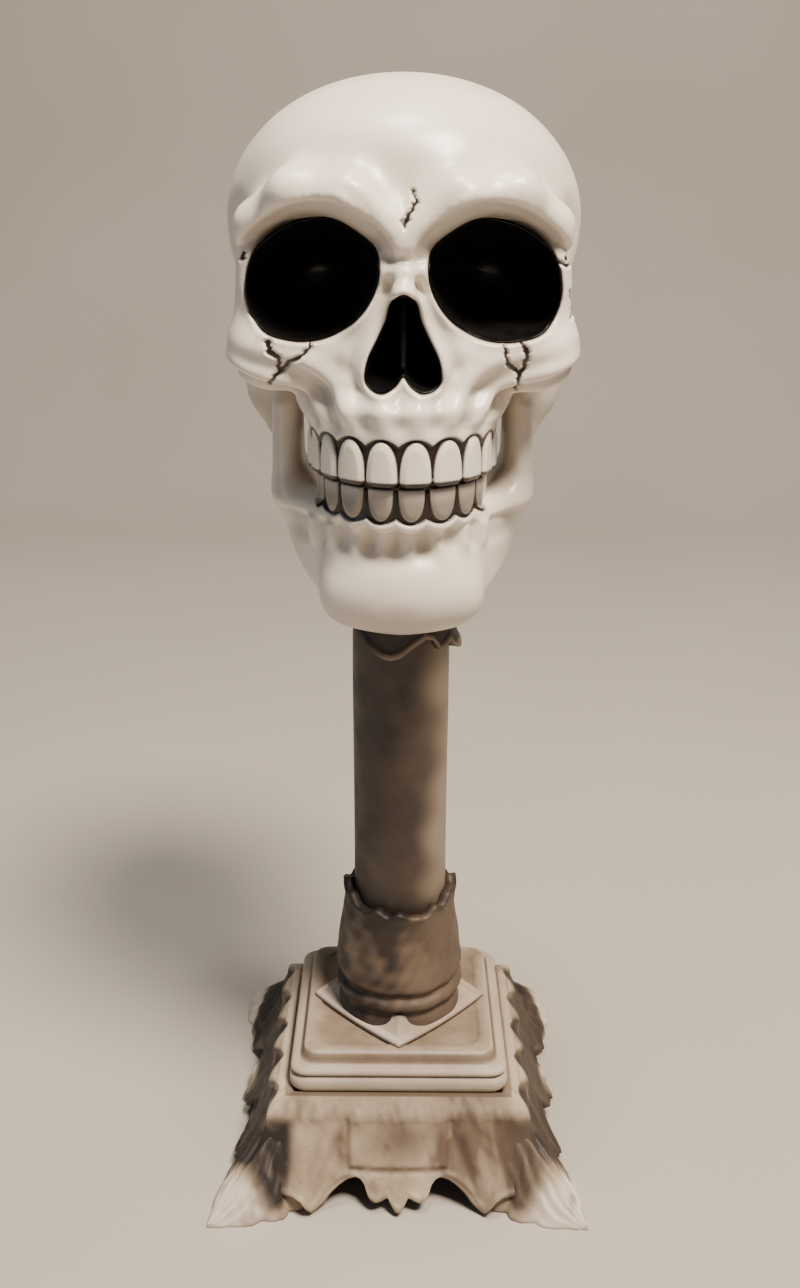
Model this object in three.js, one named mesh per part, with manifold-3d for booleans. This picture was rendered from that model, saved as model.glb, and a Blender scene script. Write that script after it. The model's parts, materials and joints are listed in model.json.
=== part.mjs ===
// A skull with a posable jaw on a column and an ornate square base.
// Millimetres, +Z up, the face looks towards -Y, the column stands on the Z axis.
import * as THREE from 'three';
import { mergeVertices } from 'three/addons/utils/BufferGeometryUtils.js';
import loadManifold from 'manifold-3d';

const wasm = await loadManifold();
wasm.setup();

// Base
const BASE_SPAN = 158;
const BASE_HEIGHT = 59;
const BASE_WALL = 3;
const TOP_PLATE_THICK = 6;
const TOP_WELL_WIDTH = 60;
const UPPER_TIER = 82;
const UPPER_TIER_THICK = 8;
const LOWER_TIER = 94;
const LOWER_TIER_THICK = 7;
const TIER_CORNER = 7;
const TIER_EDGE = 1.6;
const APRON_SPAN = 146;
const APRON_LIFT = 2.5;
const SHOULDER_SPAN = 112;
const SHOULDER_DROP = 10.5;
const SCALLOP_PITCH = 42;
const SCALLOP_DEPTH = 12;
const PANEL_WIDTH = 42;
const PANEL_RAISE = 1.4;
const LEAF_LENGTH = 36;
const LEAF_WIDTH = 36;
const LEAF_HEIGHT = 32;
const LEAF_LOBES = 3;

// Column and its two torn sockets
const COLUMN_DIAMETER = 40;
const COLUMN_LENGTH = 236;
const COLUMN_WALL = 2.5;
const SOCKET_WALL = 2.4;
const SOCKET_HEIGHT = 62;
const SOCKET_SEAT = 5;
const STAR_SPAN = 77;
const STAR_THICK = 3.5;
const NECK_LENGTH = 70;
const NECK_SEAT = 4;
const NECK_ROOM = 7;
const NECK_PLATE_WIDTH = 64;
const NECK_PLATE_LENGTH = 76;
const NECK_PLATE_THICK = 4;
const NECK_PLATE_BACK = 4;
const NECK_FLARE = 3;
const NECK_FLARE_HEIGHT = 10;
const TEAR_POINTS = 8;
const TEAR_DEPTH = 8;

// Skull
const SKULL_WIDTH = 132;
const SKULL_LENGTH = 150;
const SKULL_HEIGHT = 190;
const SHELL_WALL = 2.6;
const CUP_WALL = 1.8;
const CUP_RECESS = 1.5;
const EYE_DEPTH = 34;
const NOSE_DEPTH = 17;
const SEPTUM_THICK = 1.8;
const UPPER_TOOTH_WIDTH = 12.1;
const LOWER_TOOTH_WIDTH = 12;
const TOOTH_DEPTH = 7;
const TOOTH_GAP = 0.7;

// Jaw hinge
const KNUCKLE_DIAMETER = 12;
const KNUCKLE_WIDTH = 10.5;
const WASHER_DIAMETER = 10;
const WASHER_THICK = 1;
const PIVOT_DIAMETER = 4;
const PIVOT_LENGTH = 20;
const PIVOT_HEAD_DIAMETER = 7;
const PIVOT_HEAD_THICK = 2.2;
const PIVOT_BOSS_DIAMETER = 10;

// Fasteners
const SCREW_DIAMETER = 3;
const SCREW_LENGTH = 14;
const SCREW_HEAD_DIAMETER = 5.6;
const SCREW_HEAD_THICK = 2;
const BOSS_DIAMETER = 9;
const BOSS_DEPTH = 14;
const BOSS_FLOOR = 4;
const BOSS_BITE = 1;
const SEAM_INSET = 9;
const FLOOR_SCREW_INSET = 4;
const FLOOR_SCREW_TURN = 53;
const RIB_THICK = 2.4;
const ROD_DIAMETER = 6;
const NUT_ACROSS = 10;
const NUT_THICK = 5;
const ROD_WASHER_DIAMETER = 18;
const ROD_WASHER_THICK = 1.6;
const ROD_PAST_NUT = 4;

// Clearances
const FIT = 0.3;
const SEAT = 0.2;
const THREAD_FIT = 0.25;

// Heights worked out from the stack of pieces
const columnBottom = BASE_HEIGHT + SEAT + SOCKET_SEAT + SEAT;
const columnTop = columnBottom + COLUMN_LENGTH;
const neckSeatBottom = columnTop + SEAT;
const topWasherBottom = neckSeatBottom + NECK_SEAT + SEAT;
const topNutBottom = topWasherBottom + ROD_WASHER_THICK + SEAT;
const rodTop = topNutBottom + NUT_THICK + ROD_PAST_NUT;
const neckTop = rodTop + NECK_ROOM;
const skullFloor = neckTop + SEAT;

// The skull is drawn 132 wide, 150 long and 190 from chin to crown, then scaled
const DRAWN = { width: 132, length: 150, height: 190, floor: 66, parting: 12 };
const DRAWN_HINGE = { wall: 35.5, back: 2, rise: 86.5 };
const scale = new THREE.Vector3(
  SKULL_WIDTH / DRAWN.width,
  SKULL_LENGTH / DRAWN.length,
  SKULL_HEIGHT / DRAWN.height,
);
const leastScale = Math.min(scale.x, scale.y, scale.z);
const chinBottom = skullFloor - DRAWN.floor * scale.z;

// Solids and booleans
function solid(geometry) {
  const bare = new THREE.BufferGeometry();
  bare.setAttribute('position', geometry.getAttribute('position'));
  if (geometry.index) bare.setIndex(geometry.index);
  const welded = mergeVertices(bare, 1e-4);
  const mesh = new wasm.Mesh({
    numProp: 3,
    vertProperties: new Float32Array(welded.getAttribute('position').array),
    triVerts: new Uint32Array(welded.index.array),
  });
  return new wasm.Manifold(mesh);
}

function geometryOf(body) {
  const mesh = body.getMesh();
  const geometry = new THREE.BufferGeometry();
  geometry.setAttribute('position', new THREE.BufferAttribute(new Float32Array(mesh.vertProperties), 3));
  geometry.setIndex(new THREE.BufferAttribute(new Uint32Array(mesh.triVerts), 1));
  geometry.computeVertexNormals();
  return geometry;
}

const join = (...bodies) => bodies.reduce((sum, body) => sum.add(body));
const cut = (body, ...tools) => tools.reduce((left, tool) => left.subtract(tool), body);

function revolve(profile, sides = 32) {
  const points = profile.map(([r, z]) => new THREE.Vector2(r, z));
  return new THREE.LatheGeometry(points, sides).rotateX(Math.PI / 2);
}

function disc(diameter, bottom, top, sides = 24) {
  const r = diameter / 2;
  return revolve([[0, bottom], [r, bottom], [r, top], [0, top]], sides);
}

function tube(outer, inner, bottom, top, sides = 32) {
  const [r, s] = [outer / 2, inner / 2];
  return revolve([[s, bottom], [r, bottom], [r, top], [s, top], [s, bottom]], sides);
}

// Cylinder along +X from x0 to x1
const axleX = (diameter, x0, x1, sides = 14) => disc(diameter, x0, x1, sides).rotateY(Math.PI / 2);

// Cylinder along +Y from y0 to y1
const axleY = (diameter, y0, y1, sides = 10) => disc(diameter, -y1, -y0, sides).rotateX(Math.PI / 2);

function block(x0, x1, y0, y1, z0, z1) {
  const box = new THREE.BoxGeometry(x1 - x0, y1 - y0, z1 - z0);
  return box.translate((x0 + x1) / 2, (y0 + y1) / 2, (z0 + z1) / 2);
}

// Sculpting fields: distance to a form, negative inside
const clamp01 = (v) => Math.min(1, Math.max(0, v));

function blend(a, b, k) {
  const h = clamp01(0.5 + 0.5 * (b - a) / k);
  return b + (a - b) * h - k * h * (1 - h);
}

const carve = (a, b, k) => -blend(-a, b, k);

function ball([cx, cy, cz], [rx, ry, rz]) {
  return (x, y, z) => {
    const [u, v, w] = [(x - cx) / rx, (y - cy) / ry, (z - cz) / rz];
    const reach = Math.hypot(u, v, w);
    const slope = Math.hypot(u / rx, v / ry, w / rz);
    return reach * (reach - 1) / Math.max(slope, 1e-9);
  };
}

// Tapered rod with round ends; flat below 1 stretches it along Y
function bone([ax, ay, az], ra, [bx, by, bz], rb, flat = 1) {
  const [ex, ey, ez] = [bx - ax, (by - ay) * flat, bz - az];
  const length2 = ex * ex + ey * ey + ez * ez;
  return (x, y, z) => {
    const [px, py, pz] = [x - ax, (y - ay) * flat, z - az];
    const h = clamp01((px * ex + py * ey + pz * ez) / length2);
    return Math.hypot(px - h * ex, py - h * ey, pz - h * ez) - (ra + (rb - ra) * h);
  };
}

function roundedBox([cx, cy, cz], [hx, hy, hz], r) {
  return (x, y, z) => {
    const [u, v, w] = [Math.abs(x - cx) - hx + r, Math.abs(y - cy) - hy + r, Math.abs(z - cz) - hz + r];
    const outside = Math.hypot(Math.max(u, 0), Math.max(v, 0), Math.max(w, 0));
    return outside + Math.min(Math.max(u, v, w), 0) - r;
  };
}

// Distance to an ellipse in plan
function planEllipse(x, y, a, b) {
  const reach = Math.hypot(x / a, y / b);
  return reach * (reach - 1) / Math.max(Math.hypot(x / a / a, y / b / b), 1e-9);
}

// Brain case: a squarish egg, taller below its middle than above
function cranium(x, y, z) {
  const power = 2.04;
  const [rx, ry, rz] = [66, 68, z > 140 ? 50 : 60];
  const [u, v, w] = [Math.abs(x) / rx, Math.abs(y - 10) / ry, Math.abs(z - 140) / rz];
  const sum = u ** power + v ** power + w ** power + 1e-12;
  const reach = sum ** (1 / power);
  const g = sum ** (1 / power - 1);
  const p = power - 1;
  const slope = Math.hypot(g * u ** p / rx, g * v ** p / ry, g * w ** p / rz);
  return (reach - 1) / Math.max(slope, 1e-6) * Math.min(1, reach + 0.2);
}

// Horseshoe ridge that carries the teeth
function toothRidge(x, y, z) {
  const width = 5;
  const along = planEllipse(x, y + 25, 33 - width, 43 - width);
  const rise = Math.max(Math.abs(z - 72) - 8, 0);
  return carve(Math.hypot(along, rise) - width, -(y + 21), 4);
}

const forehead = ball([0, -13, 155], [50, 43.5, 29]);
const temple = ball([77, -28, 130], [22, 25, 34]);
const skullBase = ball([0, 22, 92], [54, 50, 30]);
const mastoid = bone([53, 29, 92], 11, [54, 28, 73], 7.5);
const faceBlock = ball([0, -26, 106], [50, 30, 36]);
const upperJaw = ball([0, -36, 78], [34, 31, 30]);
const jawPocket = roundedBox([45, -8, 74], [9.5, 24, 27], 4);
const browInner = bone([1, -58, 134.5], 7, [19, -58.5, 146], 7.5);
const browMiddle = bone([19, -58.5, 146], 7.5, [37, -53, 148.5], 7);
const browOuter = bone([37, -53, 148.5], 7, [50.5, -42, 139], 6);
const eyeSide = bone([50.5, -42, 139], 6, [53, -38.5, 104], 6.4);
const cheek = ball([45.5, -38, 97], [16, 16, 12.5]);
const cheekArch = bone([52.5, -34, 97], 6.5, [57, 1, 98], 5.5);
const eyeFloor = bone([44, -46, 96], 8, [20, -55, 94], 8);
const noseBridge = bone([0, -56, 132], 6.5, [0, -64.5, 120], 4.5);
const noseSide = bone([8, -57, 126], 5, [15, -58, 94], 5);

// Brain case, skull base and face without the raised bones; the hollow follows this form
function skullCore(s, y, z) {
  let d = blend(cranium(s, y, z), forehead(s, y, z), 10);
  d = carve(d, temple(s, y, z), 8);
  d = blend(d, skullBase(s, y, z), 10);
  d = blend(d, faceBlock(s, y, z), 10);
  d = blend(d, upperJaw(s, y, z), 8);
  return carve(d, jawPocket(s, y, z), 3);
}

// Upper skull without its eye and nose openings, cut flat underneath
function upperSkull(x, y, z) {
  const s = Math.abs(x);
  let d = blend(skullCore(s, y, z), mastoid(s, y, z), 9);
  let brow = blend(browInner(s, y, z), browMiddle(s, y, z), 6);
  brow = blend(brow, browOuter(s, y, z), 6);
  brow = blend(brow, eyeSide(s, y, z), 6);
  d = blend(d, brow, 11);
  d = blend(d, cheek(s, y, z), 8);
  d = blend(d, cheekArch(s, y, z), 9);
  d = blend(d, eyeFloor(s, y, z), 8);
  d = blend(d, noseBridge(s, y, z), 6);
  d = blend(d, noseSide(s, y, z), 6);
  d = blend(d, toothRidge(s, y, z), 6);
  return Math.max(d, DRAWN.floor - z);
}

const chin = ball([0, -52, 15], [27, 15, 14]);
const chinEdge = bone([19, -50, 8.5], 8, [0, -54, 9], 9);
const ramus = bone([43.4, -13, 42], 6.4, [43.6, -11, 74], 5.8, 0.38);
const condyle = bone([43, -1, 74], 5, [43.2, 2, 86.5], 5.5);
const chinHollow = ball([0, -79, 32], [36, 16, 8]);

// Horseshoe body of the lower jaw; its wall leans outward with height
function jawBody(x, y, z) {
  const back = clamp01((y + 60) / 56);
  const lean = clamp01(z / 34);
  const along = Math.abs(planEllipse(x, y - 6, 37.5 + 9.5 * lean, 67) + 6) - 1;
  const bottom = 0.5 + 25 * back ** 1.2;
  const top = 46 + 3 * back ** 2;
  const across = Math.abs(z - (bottom + top) / 2) - ((top - bottom) / 2 - 6);
  const outside = Math.hypot(Math.max(along, 0), Math.max(across, 0));
  const d = outside + Math.min(Math.max(along, across), 0) - 6;
  return carve(d, -(y - 7), 8);
}

function lowerJaw(x, y, z) {
  const s = Math.abs(x);
  let d = blend(jawBody(s, y, z), chin(s, y, z), 11);
  d = blend(d, chinEdge(s, y, z), 9);
  d = blend(d, ramus(s, y, z), 8);
  d = blend(d, condyle(s, y, z), 6);
  return carve(d, chinHollow(s, y, z), 6);
}

// Grid planes from [start, step] stretches, closed by the last start
function planes(...stretches) {
  const list = [];
  for (let i = 0; i + 1 < stretches.length; i += 1) {
    const [from, step] = stretches[i];
    const to = stretches[i + 1][0];
    const count = Math.max(1, Math.round((to - from) / step));
    for (let k = 0; k < count; k += 1) list.push(from + (to - from) * k / count);
  }
  list.push(stretches[stretches.length - 1][0]);
  return list;
}

const mirrored = (list) => [...list.slice(1).reverse().map((v) => -v), ...list];

// Moves a point onto the surface of a field, by no more than its reach
function settle(field, p, reach) {
  const start = p.slice();
  const e = 0.05;
  for (let turn = 0; turn < 3; turn += 1) {
    const d = field(...p);
    const slope = [0, 1, 2].map((axis) => {
      const q = p.slice();
      q[axis] += e;
      return (field(...q) - d) / e;
    });
    const steep = slope[0] ** 2 + slope[1] ** 2 + slope[2] ** 2;
    if (steep < 1e-6) break;
    for (let axis = 0; axis < 3; axis += 1) {
      const moved = p[axis] - d * slope[axis] / steep;
      p[axis] = Math.min(start[axis] + reach, Math.max(start[axis] - reach, moved));
    }
  }
  return p;
}

// Skins a field with one vertex to each grid cell that its surface crosses
function sculpt(field, xs, ys, zs) {
  const [nx, ny, nz] = [xs.length, ys.length, zs.length];
  const node = (i, j, k) => (i * ny + j) * nz + k;
  const value = new Float64Array(nx * ny * nz);
  for (let i = 0; i < nx; i += 1) {
    for (let j = 0; j < ny; j += 1) {
      for (let k = 0; k < nz; k += 1) value[node(i, j, k)] = field(xs[i], ys[j], zs[k]);
    }
  }
  const corners = [0, 1, 2, 3, 4, 5, 6, 7].map((c) => [c >> 2 & 1, c >> 1 & 1, c & 1]);
  const edges = [];
  for (let a = 0; a < 8; a += 1) {
    for (const bit of [1, 2, 4]) if (!(a & bit)) edges.push([a, a | bit]);
  }
  const points = [];
  const cellPoint = new Map();
  for (let i = 0; i + 1 < nx; i += 1) {
    for (let j = 0; j + 1 < ny; j += 1) {
      for (let k = 0; k + 1 < nz; k += 1) {
        const v = corners.map(([a, b, c]) => value[node(i + a, j + b, k + c)]);
        const at = corners.map(([a, b, c]) => [xs[i + a], ys[j + b], zs[k + c]]);
        const mean = [0, 0, 0];
        let crossings = 0;
        for (const [a, b] of edges) {
          if (v[a] < 0 === v[b] < 0) continue;
          const t = v[a] / (v[a] - v[b]);
          for (let axis = 0; axis < 3; axis += 1) {
            mean[axis] += at[a][axis] + t * (at[b][axis] - at[a][axis]);
          }
          crossings += 1;
        }
        if (crossings === 0) continue;
        const reach = 0.45 * Math.min(xs[i + 1] - xs[i], ys[j + 1] - ys[j], zs[k + 1] - zs[k]);
        cellPoint.set(node(i, j, k), points.length / 3);
        points.push(...settle(field, mean.map((m) => m / crossings), reach));
      }
    }
  }
  const triangles = [];
  const spot = (a) => new THREE.Vector3().fromArray(points, 3 * a);
  const gap2 = (a, b) => spot(a).distanceToSquared(spot(b));
  const quad = (a, b, c, d, flip) => {
    const ring = flip ? [a, d, c, b] : [a, b, c, d];
    const [p, q, r, s] = ring;
    if (gap2(p, r) <= gap2(q, s)) triangles.push(p, q, r, p, r, s);
    else triangles.push(q, r, s, q, s, p);
  };
  for (let i = 0; i + 1 < nx; i += 1) {
    for (let j = 0; j + 1 < ny; j += 1) {
      for (let k = 0; k + 1 < nz; k += 1) {
        const inside = value[node(i, j, k)] < 0;
        const cell = (a, b, c) => cellPoint.get(node(i - a, j - b, k - c));
        if (inside !== value[node(i + 1, j, k)] < 0) {
          quad(cell(0, 1, 1), cell(0, 0, 1), cell(0, 0, 0), cell(0, 1, 0), !inside);
        }
        if (inside !== value[node(i, j + 1, k)] < 0) {
          quad(cell(1, 0, 1), cell(1, 0, 0), cell(0, 0, 0), cell(0, 0, 1), !inside);
        }
        if (inside !== value[node(i, j, k + 1)] < 0) {
          quad(cell(1, 1, 0), cell(0, 1, 0), cell(0, 0, 0), cell(1, 0, 0), !inside);
        }
      }
    }
  }
  const geometry = new THREE.BufferGeometry();
  geometry.setAttribute('position', new THREE.Float32BufferAttribute(points, 3));
  geometry.setIndex(triangles);
  return geometry;
}

// From the drawn skull to its place on the column
const place = (geometry) => geometry.scale(scale.x, scale.y, scale.z).translate(0, 0, chinBottom);
const placeX = (x) => x * scale.x;
const placeY = (y) => y * scale.y;
const placeZ = (z) => chinBottom + z * scale.z;
const skullAt = (x, y, z) => {
  return upperSkull(x / scale.x, y / scale.y, (z - chinBottom) / scale.z) * leastScale;
};

// Bowl: an outline in X and Z carried straight back from the front, then rounded off
function bowl(outline, front, straight, depth) {
  const turns = 3;
  const sides = outline.length;
  const middle = outline.reduce((sum, p) => sum.add(p), new THREE.Vector2()).divideScalar(sides);
  const rings = [[front, 1], [straight, 1]];
  for (let k = 1; k < turns; k += 1) {
    const turn = k / turns * Math.PI / 2;
    rings.push([straight + depth * Math.sin(turn), Math.cos(turn)]);
  }
  const points = [];
  for (const [y, size] of rings) {
    for (const p of outline) {
      points.push(middle.x + (p.x - middle.x) * size, y, middle.y + (p.y - middle.y) * size);
    }
  }
  points.push(middle.x, front, middle.y, middle.x, straight + depth, middle.y);
  const [frontHub, backHub] = [rings.length * sides, rings.length * sides + 1];
  const triangles = [];
  for (let i = 0; i < sides; i += 1) {
    const j = (i + 1) % sides;
    triangles.push(frontHub, i, j);
    for (let k = 0; k + 1 < rings.length; k += 1) {
      const [a, b] = [k * sides, (k + 1) * sides];
      triangles.push(a + i, b + i, b + j, a + i, b + j, a + j);
    }
    const last = (rings.length - 1) * sides;
    triangles.push(last + i, backHub, last + j);
  }
  const geometry = new THREE.BufferGeometry();
  geometry.setAttribute('position', new THREE.Float32BufferAttribute(points, 3));
  geometry.setIndex(triangles);
  return geometry;
}

// Closed smooth outline through a few points, counted along its length
function smoothLoop(points, count) {
  const curve = new THREE.CatmullRomCurve3(points.map(([x, z]) => new THREE.Vector3(x, z, 0)), true);
  return curve.getSpacedPoints(count).slice(0, count).map((p) => new THREE.Vector2(p.x, p.y));
}

// Outline moved outward by a distance
function grown(outline, distance) {
  const count = outline.length;
  return outline.map((p, i) => {
    const along = outline[(i + 1) % count].clone().sub(outline[(i + count - 1) % count]).normalize();
    return new THREE.Vector2(p.x + along.y * distance, p.y - along.x * distance);
  });
}

// Eye opening: even turns of radii from the outer side, anticlockwise for the right-hand eye
const EYE_CENTRE = [30.4, 122];
const EYE_RADII = [
  23, 21.5, 19.2, 18.4, 18.7, 19.8, 20.6, 22.8, 21.8, 20.3, 19.4, 19.4, 20.2, 21.9, 24.6, 24.6,
];
const eyePoints = EYE_RADII.map((radius, i) => {
  const turn = i / EYE_RADII.length * 2 * Math.PI;
  return [
    placeX(EYE_CENTRE[0] + radius * Math.cos(turn)),
    placeZ(EYE_CENTRE[1] + radius * Math.sin(turn)),
  ];
});

// Nose opening: one half from the notch round the lobe to the top
const NOSE_HALF = [
  [0, 91.1], [2.8, 87.9], [6.5, 85.9], [10.4, 86.6], [12.6, 89.8], [11.6, 96.2], [8.6, 102.3], [5.6, 108.5],
  [4, 114.2], [0, 117.3],
];
const nosePoints = [...NOSE_HALF, ...NOSE_HALF.slice(1, -1).reverse().map(([x, z]) => [-x, z])];

const eyeOutline = smoothLoop(eyePoints, 16);
const noseOutline = smoothLoop(nosePoints.map(([x, z]) => [placeX(x), placeZ(z)]), 18);
const faceFront = placeY(-90);
const eyeStraight = placeY(-48);
const noseStraight = placeY(-56);

const eyeBowl = (grow) => bowl(grown(eyeOutline, grow), faceFront, eyeStraight, EYE_DEPTH + grow);
const noseBowl = (grow) => bowl(grown(noseOutline, grow), faceFront, noseStraight, NOSE_DEPTH + grow);

function flipX(body) {
  const geometry = geometryOf(body).scale(-1, 1, 1);
  const turned = geometry.index.array;
  for (let i = 0; i < turned.length; i += 3) [turned[i], turned[i + 1]] = [turned[i + 1], turned[i]];
  return solid(geometry);
}

// Teeth: rounded blocks set along a horseshoe, wider at the bite than at the gum
function toothRow({ a, b, yc, gum, bite, width, count, taper }) {
  const path = new THREE.EllipseCurve(0, placeY(yc), placeX(a), placeY(b), -Math.PI / 2, 0);
  const length = path.getLength();
  const teeth = [];
  for (let i = 0; i < count; i += 1) {
    const share = (i + 0.5) * width / length;
    const at = path.getPointAt(share);
    const along = path.getTangentAt(share);
    const tooth = new THREE.SphereGeometry(1, 8, 4).rotateX(Math.PI / 2);
    const spot = tooth.getAttribute('position');
    const square = (v, power) => Math.sign(v) * Math.abs(v) ** power;
    for (let n = 0; n < spot.count; n += 1) {
      const rise = square(spot.getZ(n), 0.55);
      const narrow = 1 - taper * (rise * (bite < gum ? 1 : -1) + 1) / 2;
      const u = square(spot.getX(n), 0.6) * (width - TOOTH_GAP) / 2 * narrow;
      const v = -square(spot.getY(n), 0.6) * TOOTH_DEPTH / 2;
      const low = Math.min(gum, bite);
      const high = Math.max(gum, bite);
      const z = placeZ((low + high) / 2) + rise * (high - low) / 2 * scale.z;
      const inset = TOOTH_DEPTH / 2;
      spot.setXYZ(
        n,
        at.x + along.x * u + along.y * (v - inset),
        at.y + along.y * u - along.x * (v - inset),
        z,
      );
    }
    teeth.push(solid(tooth));
  }
  return [...teeth, ...teeth.map(flipX)];
}

const upperTeeth = toothRow({
  a: 34.5, b: 47, yc: -25, gum: 74, bite: 55, width: UPPER_TOOTH_WIDTH, count: 4, taper: 0.22,
});
const lowerTeeth = toothRow({
  a: 32, b: 41.5, yc: -25, gum: 39, bite: 53.8, width: LOWER_TOOTH_WIDTH, count: 3, taper: 0.18,
});

// Upper skull skins, fine for the face and coarse for the back, and the hollow inside both
const skin = (field, xs, ys, zs) => solid(place(sculpt(field, mirrored(xs), ys, zs)));
const faceSkin = skin(
  upperSkull,
  planes([0, 7.4], [81.4]),
  planes([-84.5, 7], [-28.5, 11], [14, 22], [102]),
  planes([58, 6.4], [109, 7.6], [147, 12], [207]),
);
const rearSkin = skin(
  upperSkull,
  planes([0, 11], [88]),
  planes([-86, 22], [2, 11], [101]),
  planes([55, 10], [105, 14], [203]),
);
const drawnWall = SHELL_WALL / leastScale;
const hollowField = (x, y, z) => {
  const s = Math.abs(x);
  const room = Math.max(skullCore(s, y, z), DRAWN.floor - z) + drawnWall;
  return carve(room, temple(s, y, z) - 2 * drawnWall, 12);
};
const skullHollow = skin(
  hollowField,
  planes([0, 17], [85]),
  planes([-90, 16], [102]),
  planes([52, 16], [212]),
);

// Recessed skin that trims the front edges of the cups
const recessField = (x, y, z) => upperSkull(x, y, z) + CUP_RECESS / leastScale;
const cupTrim = skin(
  recessField,
  planes([0, 8], [80]),
  planes([-86, 8], [-30, 20], [93]),
  planes([58, 8], [150, 20], [198]),
);

// Screw places round the parting plane, seated against the inside of the wall
const parting = placeY(DRAWN.parting);
const seatDepth = SHELL_WALL + BOSS_DIAMETER / 2 + SEAM_INSET;

function wallSeat(turn) {
  const heart = placeZ(126);
  let [near, far] = [0, SKULL_WIDTH + SKULL_HEIGHT];
  for (let step = 0; step < 40; step += 1) {
    const middle = (near + far) / 2;
    const d = skullAt(middle * Math.cos(turn), parting, heart + middle * Math.sin(turn));
    if (d < -seatDepth) near = middle;
    else far = middle;
  }
  return new THREE.Vector2(near * Math.cos(turn), heart + near * Math.sin(turn));
}

const SEAM_TURNS = [2, 58, 122, 178].map(THREE.MathUtils.degToRad);
const seamScrews = SEAM_TURNS.map(wallSeat);

// Boss for a seam screw with the rib that ties it to the wall
function seamBoss(turn, y0, y1) {
  const at = wallSeat(turn);
  const rib = block(0, SKULL_WIDTH, y0, y1, -RIB_THICK / 2, RIB_THICK / 2).rotateY(-turn);
  const post = solid(axleY(BOSS_DIAMETER, y0, y1));
  return solid(geometryOf(post.add(solid(rib))).translate(at.x, 0, at.y));
}

// Floor screws stand on an oval inside the edge of the neck plate
const floorScrews = [1, -1].flatMap((side) => [-1, 1].map((end) => {
  const turn = THREE.MathUtils.degToRad(FLOOR_SCREW_TURN);
  const x = (NECK_PLATE_WIDTH / 2 - FLOOR_SCREW_INSET) * Math.cos(turn);
  const y = (NECK_PLATE_LENGTH / 2 - FLOOR_SCREW_INSET) * Math.sin(turn);
  return new THREE.Vector2(side * x, NECK_PLATE_BACK + end * y);
}));
const screwHole = SCREW_DIAMETER + 2 * THREAD_FIT;
const headHole = SCREW_HEAD_DIAMETER + 2 * FIT;
const far = SKULL_LENGTH + SKULL_WIDTH;

// Bosses and blind holes over the floor screws of one half of the skull
function floorBosses(half) {
  const post = disc(BOSS_DIAMETER, skullFloor, skullFloor + BOSS_DEPTH, 10);
  return floorScrews.filter(half).map((p) => solid(post.clone().translate(p.x, p.y, 0)));
}

function floorHoles(half) {
  const reach = SCREW_LENGTH - NECK_PLATE_THICK + SEAT;
  const hole = disc(screwHole, skullFloor - 1, skullFloor + reach, 8);
  return floorScrews.filter(half).map((p) => solid(hole.clone().translate(p.x, p.y, 0)));
}

// Jaw hinge places along X
const hingeY = placeY(DRAWN_HINGE.back);
const hingeZ = placeZ(DRAWN_HINGE.rise);
const bossFace = placeX(DRAWN_HINGE.wall) + BOSS_BITE;
const washerFace = bossFace + SEAT;
const knuckleInner = washerFace + WASHER_THICK + SEAT;
const knuckleOuter = knuckleInner + KNUCKLE_WIDTH;
const headInner = knuckleOuter + SEAT;
const pivotEnd = headInner - PIVOT_LENGTH;
const onHinge = (geometry) => geometry.translate(0, hingeY, hingeZ);

function faceShell() {
  const wall = faceSkin.subtract(skullHollow);
  const front = solid(block(-far, far, -far, parting - SEAT / 2, 0, far + chinBottom));
  let body = wall.intersect(front);
  const bosses = SEAM_TURNS.map((turn) => seamBoss(turn, parting - BOSS_DEPTH, parting - SEAT / 2));
  bosses.push(...floorBosses((p) => p.y < parting));
  const pivotBoss = solid(onHinge(axleX(PIVOT_BOSS_DIAMETER, pivotEnd - 2, bossFace)));
  body = body.add(join(...bosses).intersect(faceSkin));
  body = join(body, pivotBoss, flipX(pivotBoss), ...upperTeeth);
  const pivotHole = solid(onHinge(axleX(PIVOT_DIAMETER + 2 * THREAD_FIT, pivotEnd - SEAT, far, 10)));
  const eye = solid(eyeBowl(FIT));
  const holes = seamScrews.map((p) => {
    const hole = axleY(screwHole, parting - SCREW_LENGTH + BOSS_FLOOR - SEAT, parting + 1, 8);
    return solid(hole.translate(p.x, 0, p.y));
  });
  holes.push(...floorHoles((p) => p.y < parting));
  return cut(body, eye, flipX(eye), solid(noseBowl(FIT)), pivotHole, flipX(pivotHole), ...holes);
}

function rearShell() {
  const wall = rearSkin.subtract(skullHollow);
  const back = solid(block(-far, far, parting + SEAT / 2, far, 0, far + chinBottom));
  const bosses = SEAM_TURNS.map((turn) => seamBoss(turn, parting + SEAT / 2, far));
  bosses.push(...floorBosses((p) => p.y > parting));
  const body = wall.intersect(back).add(join(...bosses).intersect(rearSkin).intersect(back));
  const holes = seamScrews.flatMap((p) => [
    solid(axleY(screwHole, parting - 1, far, 8).translate(p.x, 0, p.y)),
    solid(axleY(headHole, parting + BOSS_FLOOR, far, 10).translate(p.x, 0, p.y)),
  ]);
  holes.push(...floorHoles((p) => p.y > parting));
  return cut(body, ...holes);
}

function eyeCup() {
  return solid(eyeBowl(0)).subtract(solid(eyeBowl(-CUP_WALL))).intersect(cupTrim);
}

function noseCup() {
  const shell = solid(noseBowl(0)).subtract(solid(noseBowl(-CUP_WALL)));
  const half = SEPTUM_THICK / 2;
  const back = noseStraight + NOSE_DEPTH;
  const septum = solid(block(-half, half, noseStraight - 4, back, placeZ(92), placeZ(116)));
  const front = solid(block(-far, far, placeY(-62), far, 0, far * 2));
  return shell.add(septum.intersect(solid(noseBowl(0)))).intersect(cupTrim).intersect(front);
}

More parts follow.
